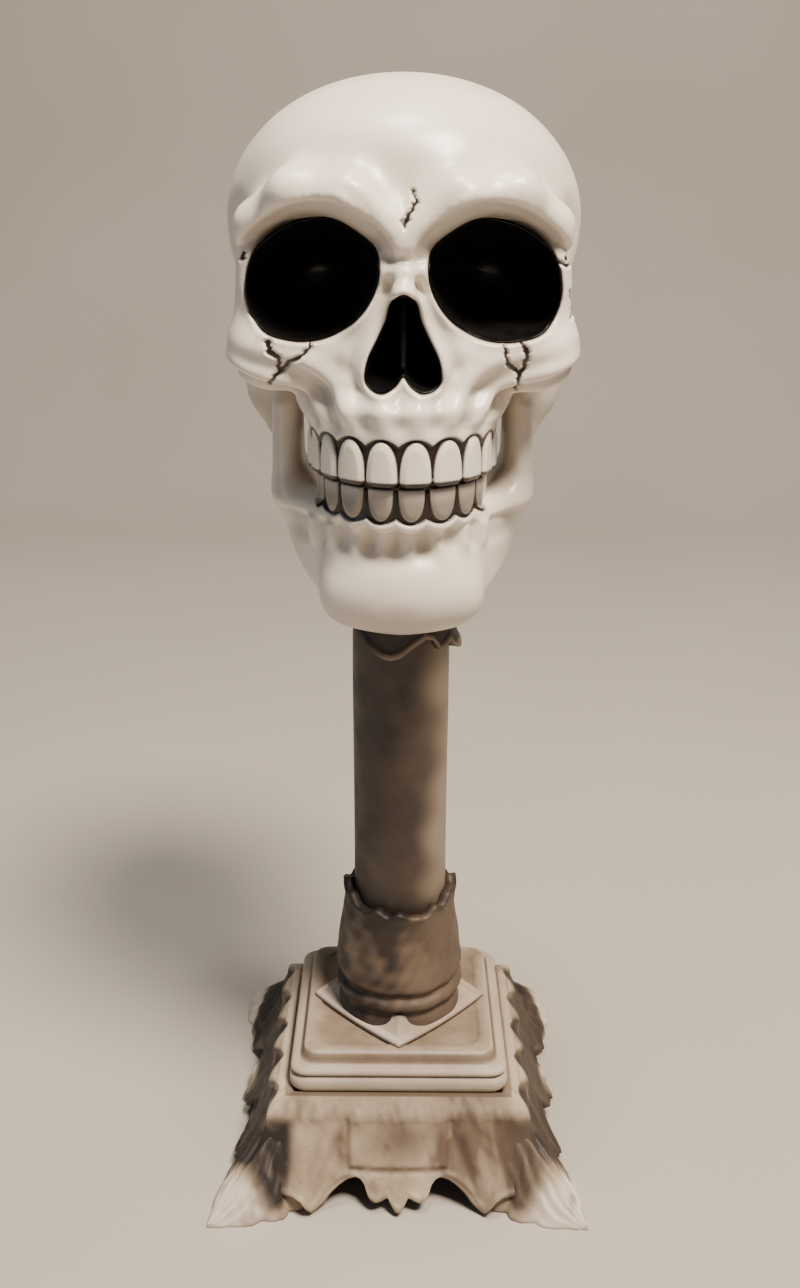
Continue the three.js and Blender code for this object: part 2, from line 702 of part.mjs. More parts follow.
function jawPiece() {
  const bare = skin(lowerJaw, planes([0, 7.2], [64.8]), planes([-79, 7], [26]), planes([-8, 7], [104]));
  const body = join(bare, ...lowerTeeth);
  const knuckle = solid(onHinge(axleX(KNUCKLE_DIAMETER, knuckleInner, knuckleOuter)));
  const clearInside = solid(onHinge(axleX(KNUCKLE_DIAMETER + 4, 0, knuckleInner)));
  const clearOutside = solid(onHinge(axleX(PIVOT_HEAD_DIAMETER + 4, knuckleOuter, far)));
  const bore = solid(onHinge(axleX(PIVOT_DIAMETER + 2 * FIT, 0, far)));
  const tools = [clearInside, clearOutside, bore];
  return cut(join(body, knuckle, flipX(knuckle)), ...tools, ...tools.map(flipX));
}

// Wedges that tear the free edge of a sleeve into uneven points
function tear(radius, edge, direction) {
  const wedges = [];
  for (let i = 0; i < TEAR_POINTS; i += 1) {
    const depth = TEAR_DEPTH * (0.62 + 0.38 * Math.sin(2.4 * i + 0.7));
    const half = Math.PI * radius / TEAR_POINTS * 0.92;
    const lean = half * 0.45 * Math.cos(1.7 * i);
    const notch = new THREE.Shape();
    notch.moveTo(-half, direction * 2);
    notch.lineTo(lean, -direction * depth);
    notch.lineTo(half, direction * 2);
    const wedge = new THREE.ExtrudeGeometry(notch, { depth: radius, bevelEnabled: false });
    wedge.rotateX(Math.PI / 2).translate(0, 1.5 * radius, 0).rotateZ(i / TEAR_POINTS * 2 * Math.PI);
    wedges.push(solid(wedge.translate(0, 0, edge)));
  }
  return join(...wedges);
}

const columnRadius = COLUMN_DIAMETER / 2;
const sleeveRadius = columnRadius + FIT + SOCKET_WALL;

function neckSocket() {
  const bore = columnRadius + FIT;
  const low = neckSeatBottom - NECK_LENGTH;
  const rod = ROD_DIAMETER / 2 + FIT;
  const chamber = bore - SOCKET_WALL;
  const plateBottom = neckTop - NECK_PLATE_THICK;
  const sleeve = revolve([
    [bore, low],
    [sleeveRadius, low],
    [sleeveRadius, plateBottom - NECK_FLARE_HEIGHT],
    [sleeveRadius + NECK_FLARE, plateBottom],
    [sleeveRadius + NECK_FLARE, plateBottom + NECK_PLATE_THICK / 2],
    [chamber, plateBottom + NECK_PLATE_THICK / 2],
    [chamber, neckSeatBottom + NECK_SEAT],
    [rod, neckSeatBottom + NECK_SEAT],
    [rod, neckSeatBottom],
    [bore, neckSeatBottom],
    [bore, low],
  ], 20);
  const oval = new THREE.Shape();
  oval.absellipse(0, NECK_PLATE_BACK, NECK_PLATE_WIDTH / 2, NECK_PLATE_LENGTH / 2, 0, 2 * Math.PI);
  const options = { depth: NECK_PLATE_THICK, bevelEnabled: false, curveSegments: 12 };
  const plate = new THREE.ExtrudeGeometry(oval, options).translate(0, 0, plateBottom);
  const well = solid(disc(2 * chamber, plateBottom - 1, neckTop + 1, 20));
  const hole = disc(SCREW_DIAMETER + 2 * FIT, plateBottom - 1, neckTop + 1, 12);
  const spotFace = disc(headHole, plateBottom - NECK_FLARE_HEIGHT, plateBottom, 12);
  const holes = floorScrews.flatMap((p) => [
    solid(hole.clone().translate(p.x, p.y, 0)),
    solid(spotFace.clone().translate(p.x, p.y, 0)),
  ]);
  const body = solid(sleeve).add(solid(plate).subtract(well));
  return cut(body, tear(sleeveRadius, low, -1), ...holes);
}

// Mouldings of the lower socket: how far each stands out, and its share of the height
const SOCKET_MOULDING = [
  [5, 0], [5, 0.08], [3.4, 0.13], [3.4, 0.17], [5.4, 0.19], [5.4, 0.26], [3.2, 0.29], [3.2, 0.32],
  [6.8, 0.36], [6.8, 0.43], [5.4, 0.47], [4, 0.55], [2.8, 0.66], [1.7, 0.76], [1, 0.87], [2, 1],
];

function columnSocket() {
  const bore = columnRadius + FIT;
  const low = BASE_HEIGHT + SEAT;
  const rod = ROD_DIAMETER / 2 + FIT;
  const r = sleeveRadius;
  const sleeve = revolve([
    [rod, low],
    ...SOCKET_MOULDING.map(([proud, share]) => [r + proud, low + SOCKET_HEIGHT * share]),
    [bore, low + SOCKET_HEIGHT],
    [bore, low + SOCKET_SEAT],
    [rod, low + SOCKET_SEAT],
    [rod, low],
  ], 20);
  const tip = STAR_SPAN / 2;
  const foot = r + SOCKET_MOULDING[0][0];
  const bend = 2 * foot * Math.SQRT1_2 - tip / 2 + 1.5;
  const star = new THREE.Shape();
  star.moveTo(tip, 0);
  star.quadraticCurveTo(bend, bend, 0, tip);
  star.quadraticCurveTo(-bend, bend, -tip, 0);
  star.quadraticCurveTo(-bend, -bend, 0, -tip);
  star.quadraticCurveTo(bend, -bend, tip, 0);
  const hole = new THREE.Path();
  hole.absarc(0, 0, r + 2, 0, 2 * Math.PI);
  star.holes.push(hole);
  const options = { depth: STAR_THICK, bevelEnabled: false, curveSegments: 8 };
  const plate = new THREE.ExtrudeGeometry(star, options).translate(0, 0, low);
  const body = solid(sleeve).add(solid(plate));
  return body.subtract(tear(r + 2, low + SOCKET_HEIGHT, 1));
}

// Square revolve: a wall profile carried round four flat sides
function squareRevolve(profile) {
  const points = profile.map(([half, z]) => new THREE.Vector2(half * Math.SQRT2, z));
  return new THREE.LatheGeometry(points, 4, Math.PI / 4).rotateX(Math.PI / 2);
}

function roundedSquare(size, corner) {
  const h = size / 2;
  const k = h - corner;
  const shape = new THREE.Shape();
  shape.absarc(k, k, corner, 0, Math.PI / 2);
  shape.absarc(-k, k, corner, Math.PI / 2, Math.PI);
  shape.absarc(-k, -k, corner, Math.PI, 1.5 * Math.PI);
  shape.absarc(k, -k, corner, 1.5 * Math.PI, 2 * Math.PI);
  return shape;
}

function tier(size, bottom, thick) {
  const options = {
    depth: thick - 2 * TIER_EDGE,
    bevelThickness: TIER_EDGE,
    bevelSize: TIER_EDGE,
    bevelSegments: 1,
    curveSegments: 3,
  };
  const plate = new THREE.ExtrudeGeometry(roundedSquare(size - 2 * TIER_EDGE, TIER_CORNER), options);
  return plate.translate(0, 0, bottom + TIER_EDGE);
}

const tierBottom = BASE_HEIGHT - UPPER_TIER_THICK - LOWER_TIER_THICK;

// Apron as half widths and heights: a rounded shoulder under the tier, then a flare to the hem
function apronProfile(grow) {
  const top = LOWER_TIER / 2 - 1;
  const shoulder = SHOULDER_SPAN / 2;
  const hem = APRON_SPAN / 2;
  const high = tierBottom + 2;
  const low = high - SHOULDER_DROP;
  const list = [];
  for (const turn of [0, 30, 60, 90]) {
    const a = THREE.MathUtils.degToRad(turn);
    list.push([top + (shoulder - top) * Math.sin(a) + grow, low + SHOULDER_DROP * Math.cos(a)]);
  }
  for (const t of [0.3, 0.55, 0.78, 1]) {
    list.push([shoulder + (hem - shoulder) * t ** 1.7 + grow, low - (low - APRON_LIFT) * t]);
  }
  return list;
}

function apronSolid(grow, lift) {
  const wall = apronProfile(grow).map(([half, z]) => [half, z + lift]);
  return squareRevolve([[0, wall[wall.length - 1][1]], ...wall.slice().reverse(), [0, wall[0][1]]]);
}

const onFourSides = (body) => [0, 1, 2, 3].map((k) => solid(geometryOf(body).rotateZ(k * Math.PI / 2)));

// Hem: a wave that leaves a drop at the middle of each side
function hemCutter() {
  const half = SCALLOP_PITCH * 1.16;
  const wave = new THREE.Shape();
  wave.moveTo(-half, -SCALLOP_DEPTH);
  wave.lineTo(half, -SCALLOP_DEPTH);
  const steps = 14;
  for (let i = 0; i <= steps; i += 1) {
    const x = half - 2 * half * i / steps;
    wave.lineTo(x, APRON_LIFT + SCALLOP_DEPTH * (0.52 - 0.5 * Math.cos(2 * Math.PI * x / SCALLOP_PITCH)));
  }
  const reach = APRON_SPAN / 2 - BASE_WALL * 6;
  const cutter = new THREE.ExtrudeGeometry(wave, { depth: BASE_WALL * 8, bevelEnabled: false });
  return cutter.rotateX(Math.PI / 2).translate(0, -reach, 0);
}

// Blank raised panel on each side, bowed along its lower edge
function sidePanel() {
  const h = PANEL_WIDTH / 2;
  const low = APRON_LIFT + SCALLOP_DEPTH + 2;
  const high = tierBottom - 4;
  const shape = new THREE.Shape();
  shape.moveTo(-h, high);
  shape.lineTo(-h + 2, low + 6);
  shape.quadraticCurveTo(0, low - 6, h - 2, low + 6);
  shape.lineTo(h, high);
  shape.quadraticCurveTo(0, high + 3, -h, high);
  const options = { depth: APRON_SPAN / 2, bevelEnabled: false, curveSegments: 4 };
  const panel = new THREE.ExtrudeGeometry(shape, options).rotateX(Math.PI / 2);
  return solid(panel).intersect(solid(apronSolid(PANEL_RAISE, 0)));
}

// Corner foot: a leaf that lies from the apron's corner out to a pointed tip on the table
function cornerLeaf() {
  const root = BASE_SPAN / 2 * Math.SQRT2 - LEAF_LENGTH;
  const stations = 9;
  const across = [-1, -0.72, -0.36, 0, 0.36, 0.72, 1];
  const points = [];
  for (let i = 0; i <= stations; i += 1) {
    const t = i / stations;
    const lobes = 1 + 0.06 * Math.cos(2 * Math.PI * LEAF_LOBES * t);
    const half = LEAF_WIDTH / 2 * lobes * (1.03 - Math.max(0, (t - 0.1) / 0.9) ** 1.6);
    const ridge = LEAF_HEIGHT * (1.045 - t ** 1.15);
    for (const u of across) {
      points.push([root + LEAF_LENGTH * t, half * u, 1 + ridge * (1 - Math.abs(u) ** 1.7)]);
    }
    points.push([root + LEAF_LENGTH * t, half, -1], [root + LEAF_LENGTH * t, -half, -1]);
  }
  const ring = across.length + 2;
  const triangles = [];
  for (let i = 0; i < stations; i += 1) {
    for (let k = 0; k < ring; k += 1) {
      const n = (k + 1) % ring;
      const [a, b] = [i * ring, (i + 1) * ring];
      triangles.push(a + k, b + n, a + n, a + k, b + k, b + n);
    }
  }
  for (let k = 1; k + 1 < ring; k += 1) {
    triangles.push(0, k, k + 1);
    const last = stations * ring;
    triangles.push(last, last + k + 1, last + k);
  }
  const geometry = new THREE.BufferGeometry();
  geometry.setAttribute('position', new THREE.Float32BufferAttribute(points.flat(), 3));
  geometry.setIndex(triangles);
  return geometry.rotateZ(Math.PI / 4);
}

function baseShell() {
  const plates = join(
    solid(tier(UPPER_TIER, BASE_HEIGHT - UPPER_TIER_THICK, UPPER_TIER_THICK)),
    solid(tier(LOWER_TIER, tierBottom, LOWER_TIER_THICK + 0.5)),
  );
  const apron = solid(apronSolid(0, 0));
  const span = BASE_SPAN / 2;
  const under = solid(block(-span, span, -span, span, -BASE_HEIGHT, tierBottom - SHOULDER_DROP));
  const hollow = solid(apronSolid(-BASE_WALL, 0)).intersect(under);
  const open = solid(apronSolid(-BASE_WALL, -BASE_WALL));
  const wall = cut(apron, hollow, open, ...onFourSides(solid(hemCutter())));
  const footprint = solid(block(-span, span, -span, span, -BASE_HEIGHT, 2 * BASE_HEIGHT));
  const leaves = onFourSides(cut(solid(cornerLeaf()).intersect(footprint), hollow, open));
  const panels = onFourSides(sidePanel().subtract(solid(apronSolid(-BASE_WALL / 2, 0))));
  const rod = solid(disc(ROD_DIAMETER + 2 * FIT, 0, BASE_HEIGHT + 5, 16));
  const table = solid(block(-BASE_SPAN, BASE_SPAN, -BASE_SPAN, BASE_SPAN, -BASE_HEIGHT, 0));
  const room = TOP_WELL_WIDTH / 2;
  const well = solid(block(-room, room, -room, room, tierBottom - 4, BASE_HEIGHT - TOP_PLATE_THICK));
  return cut(join(plates, wall, ...leaves, ...panels), well, rod, table);
}

// Fasteners
function screw(length) {
  const r = SCREW_DIAMETER / 2;
  const head = SCREW_HEAD_DIAMETER / 2;
  const crown = SCREW_HEAD_THICK;
  return revolve([
    [0, -length], [r, -length + 2], [r, 0], [head, 0], [head, crown / 2], [head * 0.7, crown], [0, crown],
  ], 6);
}

function nut(bottom) {
  const hex = solid(disc(2 * NUT_ACROSS / Math.sqrt(3), bottom, bottom + NUT_THICK, 6));
  return hex.subtract(solid(disc(ROD_DIAMETER + 2 * THREAD_FIT, bottom - 1, bottom + NUT_THICK + 1, 16)));
}

function rodWasher(bottom) {
  return tube(ROD_WASHER_DIAMETER, ROD_DIAMETER + 2 * FIT, bottom, bottom + ROD_WASHER_THICK, 16);
}

const bottomWasherTop = BASE_HEIGHT - TOP_PLATE_THICK - SEAT;
const bottomNutBottom = bottomWasherTop - ROD_WASHER_THICK - SEAT - NUT_THICK;
const rodBottom = bottomNutBottom - ROD_PAST_NUT;

// Finishes
function finish(color, roughness, metalness = 0) {
  return new THREE.MeshStandardMaterial({ color, roughness, metalness });
}

const boneWhite = () => finish(0xe9e4da, 0.35);
const socketBlack = () => finish(0x0d0c0c, 0.2);
const smoke = () => finish(0x5a5049, 0.55);
const stone = () => finish(0xc9bda6, 0.7);
const steel = () => finish(0xa9a9a8, 0.35, 1);
const nylon = () => finish(0xd8d6cf, 0.6);

const skull = new THREE.Group();
const object = new THREE.Group();

function add(parent, name, shape, material) {
  const geometry = shape.isBufferGeometry ? shape : geometryOf(shape);
  const mesh = new THREE.Mesh(geometry, material);
  mesh.name = name;
  parent.add(mesh);
  return mesh;
}

add(object, 'base_shell', baseShell(), stone());
add(object, 'column_socket', columnSocket(), stone());
const columnBore = COLUMN_DIAMETER - 2 * COLUMN_WALL;
add(object, 'column_tube', tube(COLUMN_DIAMETER, columnBore, columnBottom, columnTop), smoke());
add(object, 'neck_socket', neckSocket(), smoke());
add(object, 'tie_rod', disc(ROD_DIAMETER, rodBottom, rodTop, 12), steel());
add(object, 'top_washer', rodWasher(topWasherBottom), steel());
add(object, 'top_nut', nut(topNutBottom), steel());
add(object, 'bottom_washer', rodWasher(bottomWasherTop - ROD_WASHER_THICK), steel());
add(object, 'bottom_nut', nut(bottomNutBottom), steel());

add(skull, 'face_shell', faceShell(), boneWhite());
add(skull, 'rear_shell', rearShell(), boneWhite());
const cup = eyeCup();
add(skull, 'eye_cup_right', cup, socketBlack());
add(skull, 'eye_cup_left', flipX(cup), socketBlack());
add(skull, 'nose_cup', noseCup(), socketBlack());
add(skull, 'lower_jaw', jawPiece(), boneWhite());

for (const [name, side] of [['right', 1], ['left', -1]]) {
  const ring = tube(WASHER_DIAMETER, PIVOT_DIAMETER + 2 * FIT, washerFace, washerFace + WASHER_THICK, 14);
  const washer = solid(onHinge(ring.rotateY(Math.PI / 2)));
  const pivot = solid(onHinge(axleX(PIVOT_DIAMETER, pivotEnd, headInner)));
  const head = solid(onHinge(axleX(PIVOT_HEAD_DIAMETER, headInner, headInner + PIVOT_HEAD_THICK)));
  const bolt = pivot.add(head);
  add(skull, `jaw_washer_${name}`, side > 0 ? washer : flipX(washer), nylon());
  add(skull, `jaw_pivot_${name}`, side > 0 ? bolt : flipX(bolt), steel());
}

seamScrews.forEach((p, i) => {
  const piece = add(skull, `seam_screw_${i + 1}`, screw(SCREW_LENGTH), steel());
  piece.rotation.x = -Math.PI / 2;
  piece.position.set(p.x, parting + BOSS_FLOOR + SEAT, p.y);
});

floorScrews.forEach((p, i) => {
  const piece = add(skull, `floor_screw_${i + 1}`, screw(SCREW_LENGTH), steel());
  piece.rotation.x = Math.PI;
  piece.position.set(p.x, p.y, neckTop - NECK_PLATE_THICK - SEAT);
});

object.add(skull);

export default object;
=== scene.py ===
# Looks of a skull with a posable jaw, on a column and an ornate square base
import json
import math
import bpy
from mathutils import Matrix, Vector
import numpy as np
from numpy import (arange, array, column_stack, concatenate, cos, exp, full, hypot, interp, linspace,
                   maximum, minimum, sin, stack, where)


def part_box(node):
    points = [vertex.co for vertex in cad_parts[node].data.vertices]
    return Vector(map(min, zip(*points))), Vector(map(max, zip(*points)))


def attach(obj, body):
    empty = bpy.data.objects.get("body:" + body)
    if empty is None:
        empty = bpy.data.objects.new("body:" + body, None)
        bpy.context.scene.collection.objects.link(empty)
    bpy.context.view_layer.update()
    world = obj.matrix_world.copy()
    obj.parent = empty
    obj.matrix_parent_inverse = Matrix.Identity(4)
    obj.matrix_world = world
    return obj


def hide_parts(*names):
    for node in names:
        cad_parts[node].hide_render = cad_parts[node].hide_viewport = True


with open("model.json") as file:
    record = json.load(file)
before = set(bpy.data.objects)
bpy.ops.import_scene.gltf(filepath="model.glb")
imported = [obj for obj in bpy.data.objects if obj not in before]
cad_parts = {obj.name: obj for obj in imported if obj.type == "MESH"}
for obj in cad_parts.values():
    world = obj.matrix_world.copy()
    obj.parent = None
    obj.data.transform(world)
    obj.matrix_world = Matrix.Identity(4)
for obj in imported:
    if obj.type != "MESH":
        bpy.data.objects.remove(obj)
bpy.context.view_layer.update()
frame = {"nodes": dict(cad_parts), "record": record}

MM = 0.001


def box_mm(node):
    low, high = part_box(node)
    return array(low) / MM, array(high) / MM


# Places taken from the frame, in mm
SKULL_FLOOR = box_mm("rear_shell")[0][2]
DRAWN_FLOOR = 66.0
CHIN_BOTTOM = SKULL_FLOOR - DRAWN_FLOOR
PARTING = (box_mm("face_shell")[1][1] + box_mm("rear_shell")[0][1]) / 2
SEAM_GAP = 0.2
HINGE = array([0.0, *(np.add(*box_mm("jaw_pivot_right"))[1:] / 2)])


# Small numeric helpers
def clamp01(v):
    return np.clip(v, 0.0, 1.0)


def rise(v, low, high):
    t = clamp01((v - low) / (high - low))
    return t * t * (3 - 2 * t)


def fall(v, low, high):
    return 1 - rise(v, low, high)


def bump(v, middle, half):
    return exp(-((v - middle) / half) ** 2)


def mirrored(p):
    """Points with both halves folded onto the +X side."""
    return abs(p * [1, 0, 0]) + p * [0, 1, 1]


def waves(p, seed, count=18, low=0.02, high=0.2):
    """Smooth repeatable unevenness, about -1 to 1, from a sum of plane waves; scales are per mm."""
    rng = np.random.default_rng(seed)
    total = np.zeros(len(p))
    weight = 0.0
    for _ in range(count):
        size = low * (high / low) ** rng.random()
        way = rng.normal(size=3)
        way *= 2 * math.pi * size / np.linalg.norm(way)
        amount = (low / size) ** 0.5
        total += amount * sin(p @ way + rng.random() * 6.283)
        weight += amount ** 2
    return total / math.sqrt(weight / 2) * 0.5


# Fields: distance to a form in mm, negative inside
def blend(a, b, k):
    h = clamp01(0.5 + 0.5 * (b - a) / k)
    return b + (a - b) * h - k * h * (1 - h)


def carve(a, b, k):
    return -blend(-a, b, k)


def ball(p, centre, radii):
    q = (p - centre) / radii
    reach = np.linalg.norm(q, axis=1)
    slope = np.linalg.norm(q / radii, axis=1)
    return reach * (reach - 1) / maximum(slope, 1e-9)


def bone(p, a, ra, b, rb, flat=1.0):
    squeeze = array([1, flat, 1])
    e = (array(b) - a) * squeeze
    q = (p - a) * squeeze
    h = clamp01(q @ e / (e @ e))
    return np.linalg.norm(q - h[:, None] * e, axis=1) - (ra + (rb - ra) * h)


def rounded(past, r):
    """Distance to a block with edges of radius r, from the distances past its inner faces."""
    return np.linalg.norm(maximum(past, 0), axis=1) + minimum(past.max(axis=1), 0) - r


def rounded_box(p, centre, half, r):
    return rounded(abs(p - centre) - array(half) + r, r)


def plan_ellipse(x, y, a, b):
    reach = hypot(x / a, y / b)
    return reach * (reach - 1) / maximum(hypot(x / a / a, y / b / b), 1e-9)


CRANIUM_MIDDLE = array([0.0, 10.0, 140.0])
CRANIUM_RADII = (66, 68, 50.0, 60.0)
CRANIUM_POWER = 2.04


def cranium(p):
    """Swollen egg with a flatter crown above its middle than below."""
    wide, long, crown, low = CRANIUM_RADII
    away = p - CRANIUM_MIDDLE
    tall = where(away[:, 2] > 0, crown, low)
    power = CRANIUM_POWER
    u, v, w = abs(away[:, 0]) / wide, abs(away[:, 1]) / long, abs(away[:, 2]) / tall
    total = u ** power + v ** power + w ** power + 1e-12
    reach = total ** (1 / power)
    g = total ** (1 / power - 1)
    q = power - 1
    slope = np.sqrt((g * u ** q / wide) ** 2 + (g * v ** q / long) ** 2 + (g * w ** q / tall) ** 2)
    return (reach - 1) / maximum(slope, 1e-6) * minimum(1, reach + 0.2)


class Outline:
    """Closed smooth outline in X and Z, with the distance to it (negative inside)."""

    def __init__(self, points, count):
        points = array(points, float)
        each = count // len(points)
        t = arange(each)[:, None] / each
        p0, p1, p2, p3 = (np.roll(points, 1 - k, axis=0)[:, None] for k in range(4))
        curve = 0.5 * (2 * p1 + (p2 - p0) * t + (2 * p0 - 5 * p1 + 4 * p2 - p3) * t ** 2
                       + (3 * p1 - p0 - 3 * p2 + p3) * t ** 3)
        self.points = curve.reshape(-1, 2)
        self.middle = self.points.mean(axis=0)

    def distance(self, x, z):
        near = full(len(x), np.inf)
        inside = np.zeros(len(x), bool)
        a = self.points
        b = np.roll(a, -1, axis=0)
        for (ax, az), (bx, bz) in zip(a, b):
            ex, ez = bx - ax, bz - az
            px, pz = x - ax, z - az
            h = clamp01((px * ex + pz * ez) / (ex * ex + ez * ez))
            near = minimum(near, (px - h * ex) ** 2 + (pz - h * ez) ** 2)
            if ez != 0:
                inside ^= ((az > z) != (bz > z)) & (x < ex * (z - az) / ez + ax)
        return where(inside, -1, 1) * np.sqrt(near)


EYE_CENTRE = array([30.4, 122.0])
EYE_RADII = [23, 21.5, 19.2, 18.4, 18.7, 19.8, 20.6, 22.8, 21.8, 20.3, 19.4, 19.4, 20.2, 21.9, 24.6, 24.6]
EYE_TURNS = arange(len(EYE_RADII)) / len(EYE_RADII) * 2 * math.pi
EYE_RAYS = stack([cos(EYE_TURNS), sin(EYE_TURNS)], 1)
EYE = Outline(EYE_CENTRE + array(EYE_RADII)[:, None] * EYE_RAYS, 64)
NOSE_HALF = [(0, 91.1), (2.8, 87.9), (6.5, 85.9), (10.4, 86.6), (12.6, 89.8), (11.6, 96.2), (8.6, 102.3),
             (5.6, 108.5), (4.0, 114.2), (0, 117.3)]
NOSE = Outline(NOSE_HALF + [(-x, z) for x, z in NOSE_HALF[-2:0:-1]], 72)
EYE_STRAIGHT, EYE_DEPTH, EYE_ROUND = -48.0, 34.0, 20.0
NOSE_STRAIGHT, NOSE_DEPTH, NOSE_ROUND = -56.0, 17.0, 8.0
CUP_FIT = 0.3


def bowl_field(s, y, straight, depth, turn):
    t = np.clip((y - straight) / depth, 0, 1.2)
    return s + turn * (1 - np.sqrt(maximum(1 - t * t, 0))) + 30 * maximum(t - 0.98, 0)


TEETH_BACK = -25.0
TOOTH_POWER = 3.0


class Teeth:
    """A row of teeth round a horseshoe: outlines in arc length and height."""

    def __init__(self, a, b, widths, bite, arch, up, middle, half, rim, sag):
        self.a, self.b, self.bite, self.arch, self.up, self.middle = a, b, bite, arch, up, middle
        self.half, self.rim, self.sag = half, rim, sag
        self.phi = linspace(0, math.pi / 2, 400)
        step = hypot(np.diff(a * sin(self.phi)), np.diff(b * cos(self.phi)))
        self.run = concatenate([[0], np.cumsum(step)])
        edges = concatenate([[0], np.cumsum(widths)])
        self.end = edges[-1]
        self.centres = edges[:-1] + array(widths) / 2
        talls = [arch * (0.9 + 0.1 * w / widths[0]) for w in widths]
        self.each = [(side * c, w / 2, t) for c, w, t in zip(self.centres, widths, talls) for side in (-1, 1)]

    def along(self, p):
        """Arc length from the middle of the row."""
        phi = np.arctan2(abs(p[:, 0]) / self.a, (TEETH_BACK - p[:, 1]) / self.b)
        return interp(minimum(phi, math.pi / 2), self.phi, self.run) * np.sign(p[:, 0]) - self.middle

    def reach(self, p):
        """Distance outside the centre line of the row, in plan."""
        return plan_ellipse(p[:, 0], p[:, 1] - TEETH_BACK, self.a - self.half, self.b - self.half)

    def outline(self, s, z, gap):
        """Distance outside the nearest tooth, in the unrolled row; negative on a tooth."""
        q = full(len(s), 9.0)
        high = maximum((z - self.bite) * self.up, 0)
        for centre, half, tall in self.each:
            wide = half - gap / 2
            u = abs(s - centre) / wide
            f = u ** 2 + (high / tall) ** TOOTH_POWER - 1
            gz = TOOTH_POWER * (high / tall) ** (TOOTH_POWER - 1) / tall
            q = minimum(q, f / maximum(hypot(2 * u / wide, gz), 0.02))
        return q

    def past_gum(self, s, z):
        """Height past the painted arches of the gum; negative on the side of the teeth."""
        top = full(len(s), -9.0)
        for centre, half, tall in self.each:
            top = maximum(top, tall + self.rim - self.sag * ((s - centre) / half) ** 2)
        return (z - self.bite) * self.up - top

    def band(self, p, low, high, r):
        """Distance to the plain rounded band that the teeth are cut from."""
        up = abs(p[:, 2] - (low + high) / 2) - (high - low) / 2
        d = rounded(stack([abs(self.reach(p)) - self.half + r, up + r], 1), r)
        return carve(d, TEETH_BACK + 4 - p[:, 1], 4)

    def ridges(self, s, half):
        """1 along the middle of each root, falling to -1 beside it."""
        nearest = np.min([abs(abs(s) - c) for c in self.centres], axis=0)
        return cos(minimum(nearest / half, 1) * math.pi)


UPPER = Teeth(34.5, 47.0, (12.0, 13.0, 12.3, 10.9, 9.0), bite=55.0, arch=14.9, up=1, middle=-1.4, half=3.6,
              rim=1.0, sag=2.5)
LOWER = Teeth(32.0, 44.5, (11.2, 12.9, 12.4, 9.0), bite=53.8, arch=12.0, up=-1, middle=-2.3, half=3.4,
              rim=1.2, sag=1.9)
UPPER_ROOT, LOWER_ROOT = 80.0, 33.0


# Cracks as listed points: front ones in X and Z, side ones in Y and Z, with half widths
FRONT_CRACKS = [
    [(2.8, 149.6, 0.3), (3.9, 146.0, 0.5), (1.6, 142.2, 0.6), (0.3, 140.0, 1.1), (0.0, 138.2, 0.3)],
    [(-45.9, 101.0, 1.0), (-45.6, 97.8, 0.9), (-42.2, 95.9, 0.7), (-42.6, 92.8, 0.7), (-42.0, 91.4, 0.8),
     (-47.0, 86.2, 0.3)],
    [(-31.6, 102.1, 0.5), (-31.8, 99.1, 0.5), (-35.3, 96.1, 0.6), (-38.8, 94.7, 0.7), (-41.5, 91.6, 0.8)],
    [(34.1, 100.3, 0.5), (35.5, 94.5, 0.6), (38.4, 92.4, 0.7), (39.6, 90.9, 0.7)],
    [(40.2, 101.2, 0.8), (42.3, 97.7, 0.8), (40.9, 92.0, 0.8), (39.6, 90.9, 0.8), (39.6, 84.6, 0.3)],
    [(-58.5, 130.5, 0.3), (-54.8, 127.8, 0.8)],
    [(52.2, 127.4, 0.3), (55.7, 125.9, 0.6), (58.5, 128.0, 0.6)],
    [(57.4, 117.3, 0.5), (59.0, 112.7, 0.6), (58.2, 108.5, 0.3)],
]
SIDE_CRACKS = [
    (-1, [(-44.0, 129.0, 0.6), (-38.0, 131.5, 0.6), (-31.0, 131.0, 0.3)]),
    (1, [(-44.0, 128.0, 0.6), (-38.0, 130.0, 0.6), (-30.0, 134.0, 0.5), (-24.0, 141.0, 0.3)]),
]


def line_distance(a, b, points):
    """Distance to a jointed line less its half width there."""
    near = full(len(a), 50.0)
    for (a0, b0, w0), (a1, b1, w1) in zip(points, points[1:]):
        ea, eb = a1 - a0, b1 - b0
        h = clamp01(((a - a0) * ea + (b - b0) * eb) / (ea * ea + eb * eb))
        near = minimum(near, hypot(a - a0 - h * ea, b - b0 - h * eb) - (w0 + (w1 - w0) * h))
    return near


def crack_distance(p):
    x, y, z = p.T
    near = full(len(p), 50.0)
    wander = 0.22 * sin(1.9 * z + 0.7 * x) + 0.12 * sin(4.3 * z - 1.1 * x)
    ahead = y < where(abs(x) > 50, -14, -38)
    for points in FRONT_CRACKS:
        near = minimum(near, where(ahead, line_distance(x + wander, z, points), 50))
    for side, points in SIDE_CRACKS:
        beside = (x * side > 40) & (y > -46)
        near = minimum(near, where(beside, line_distance(y + wander, z, points), 50))
    return near


# Brow and outer rim of an eye, from the nose round to the cheek: places and radii
BROW = [([1, -58, 134.5], 7), ([19, -58.5, 146], 7.5), ([37, -53, 148.5], 7), ([50.5, -42, 139], 6),
        ([53, -38.5, 104], 6.4)]


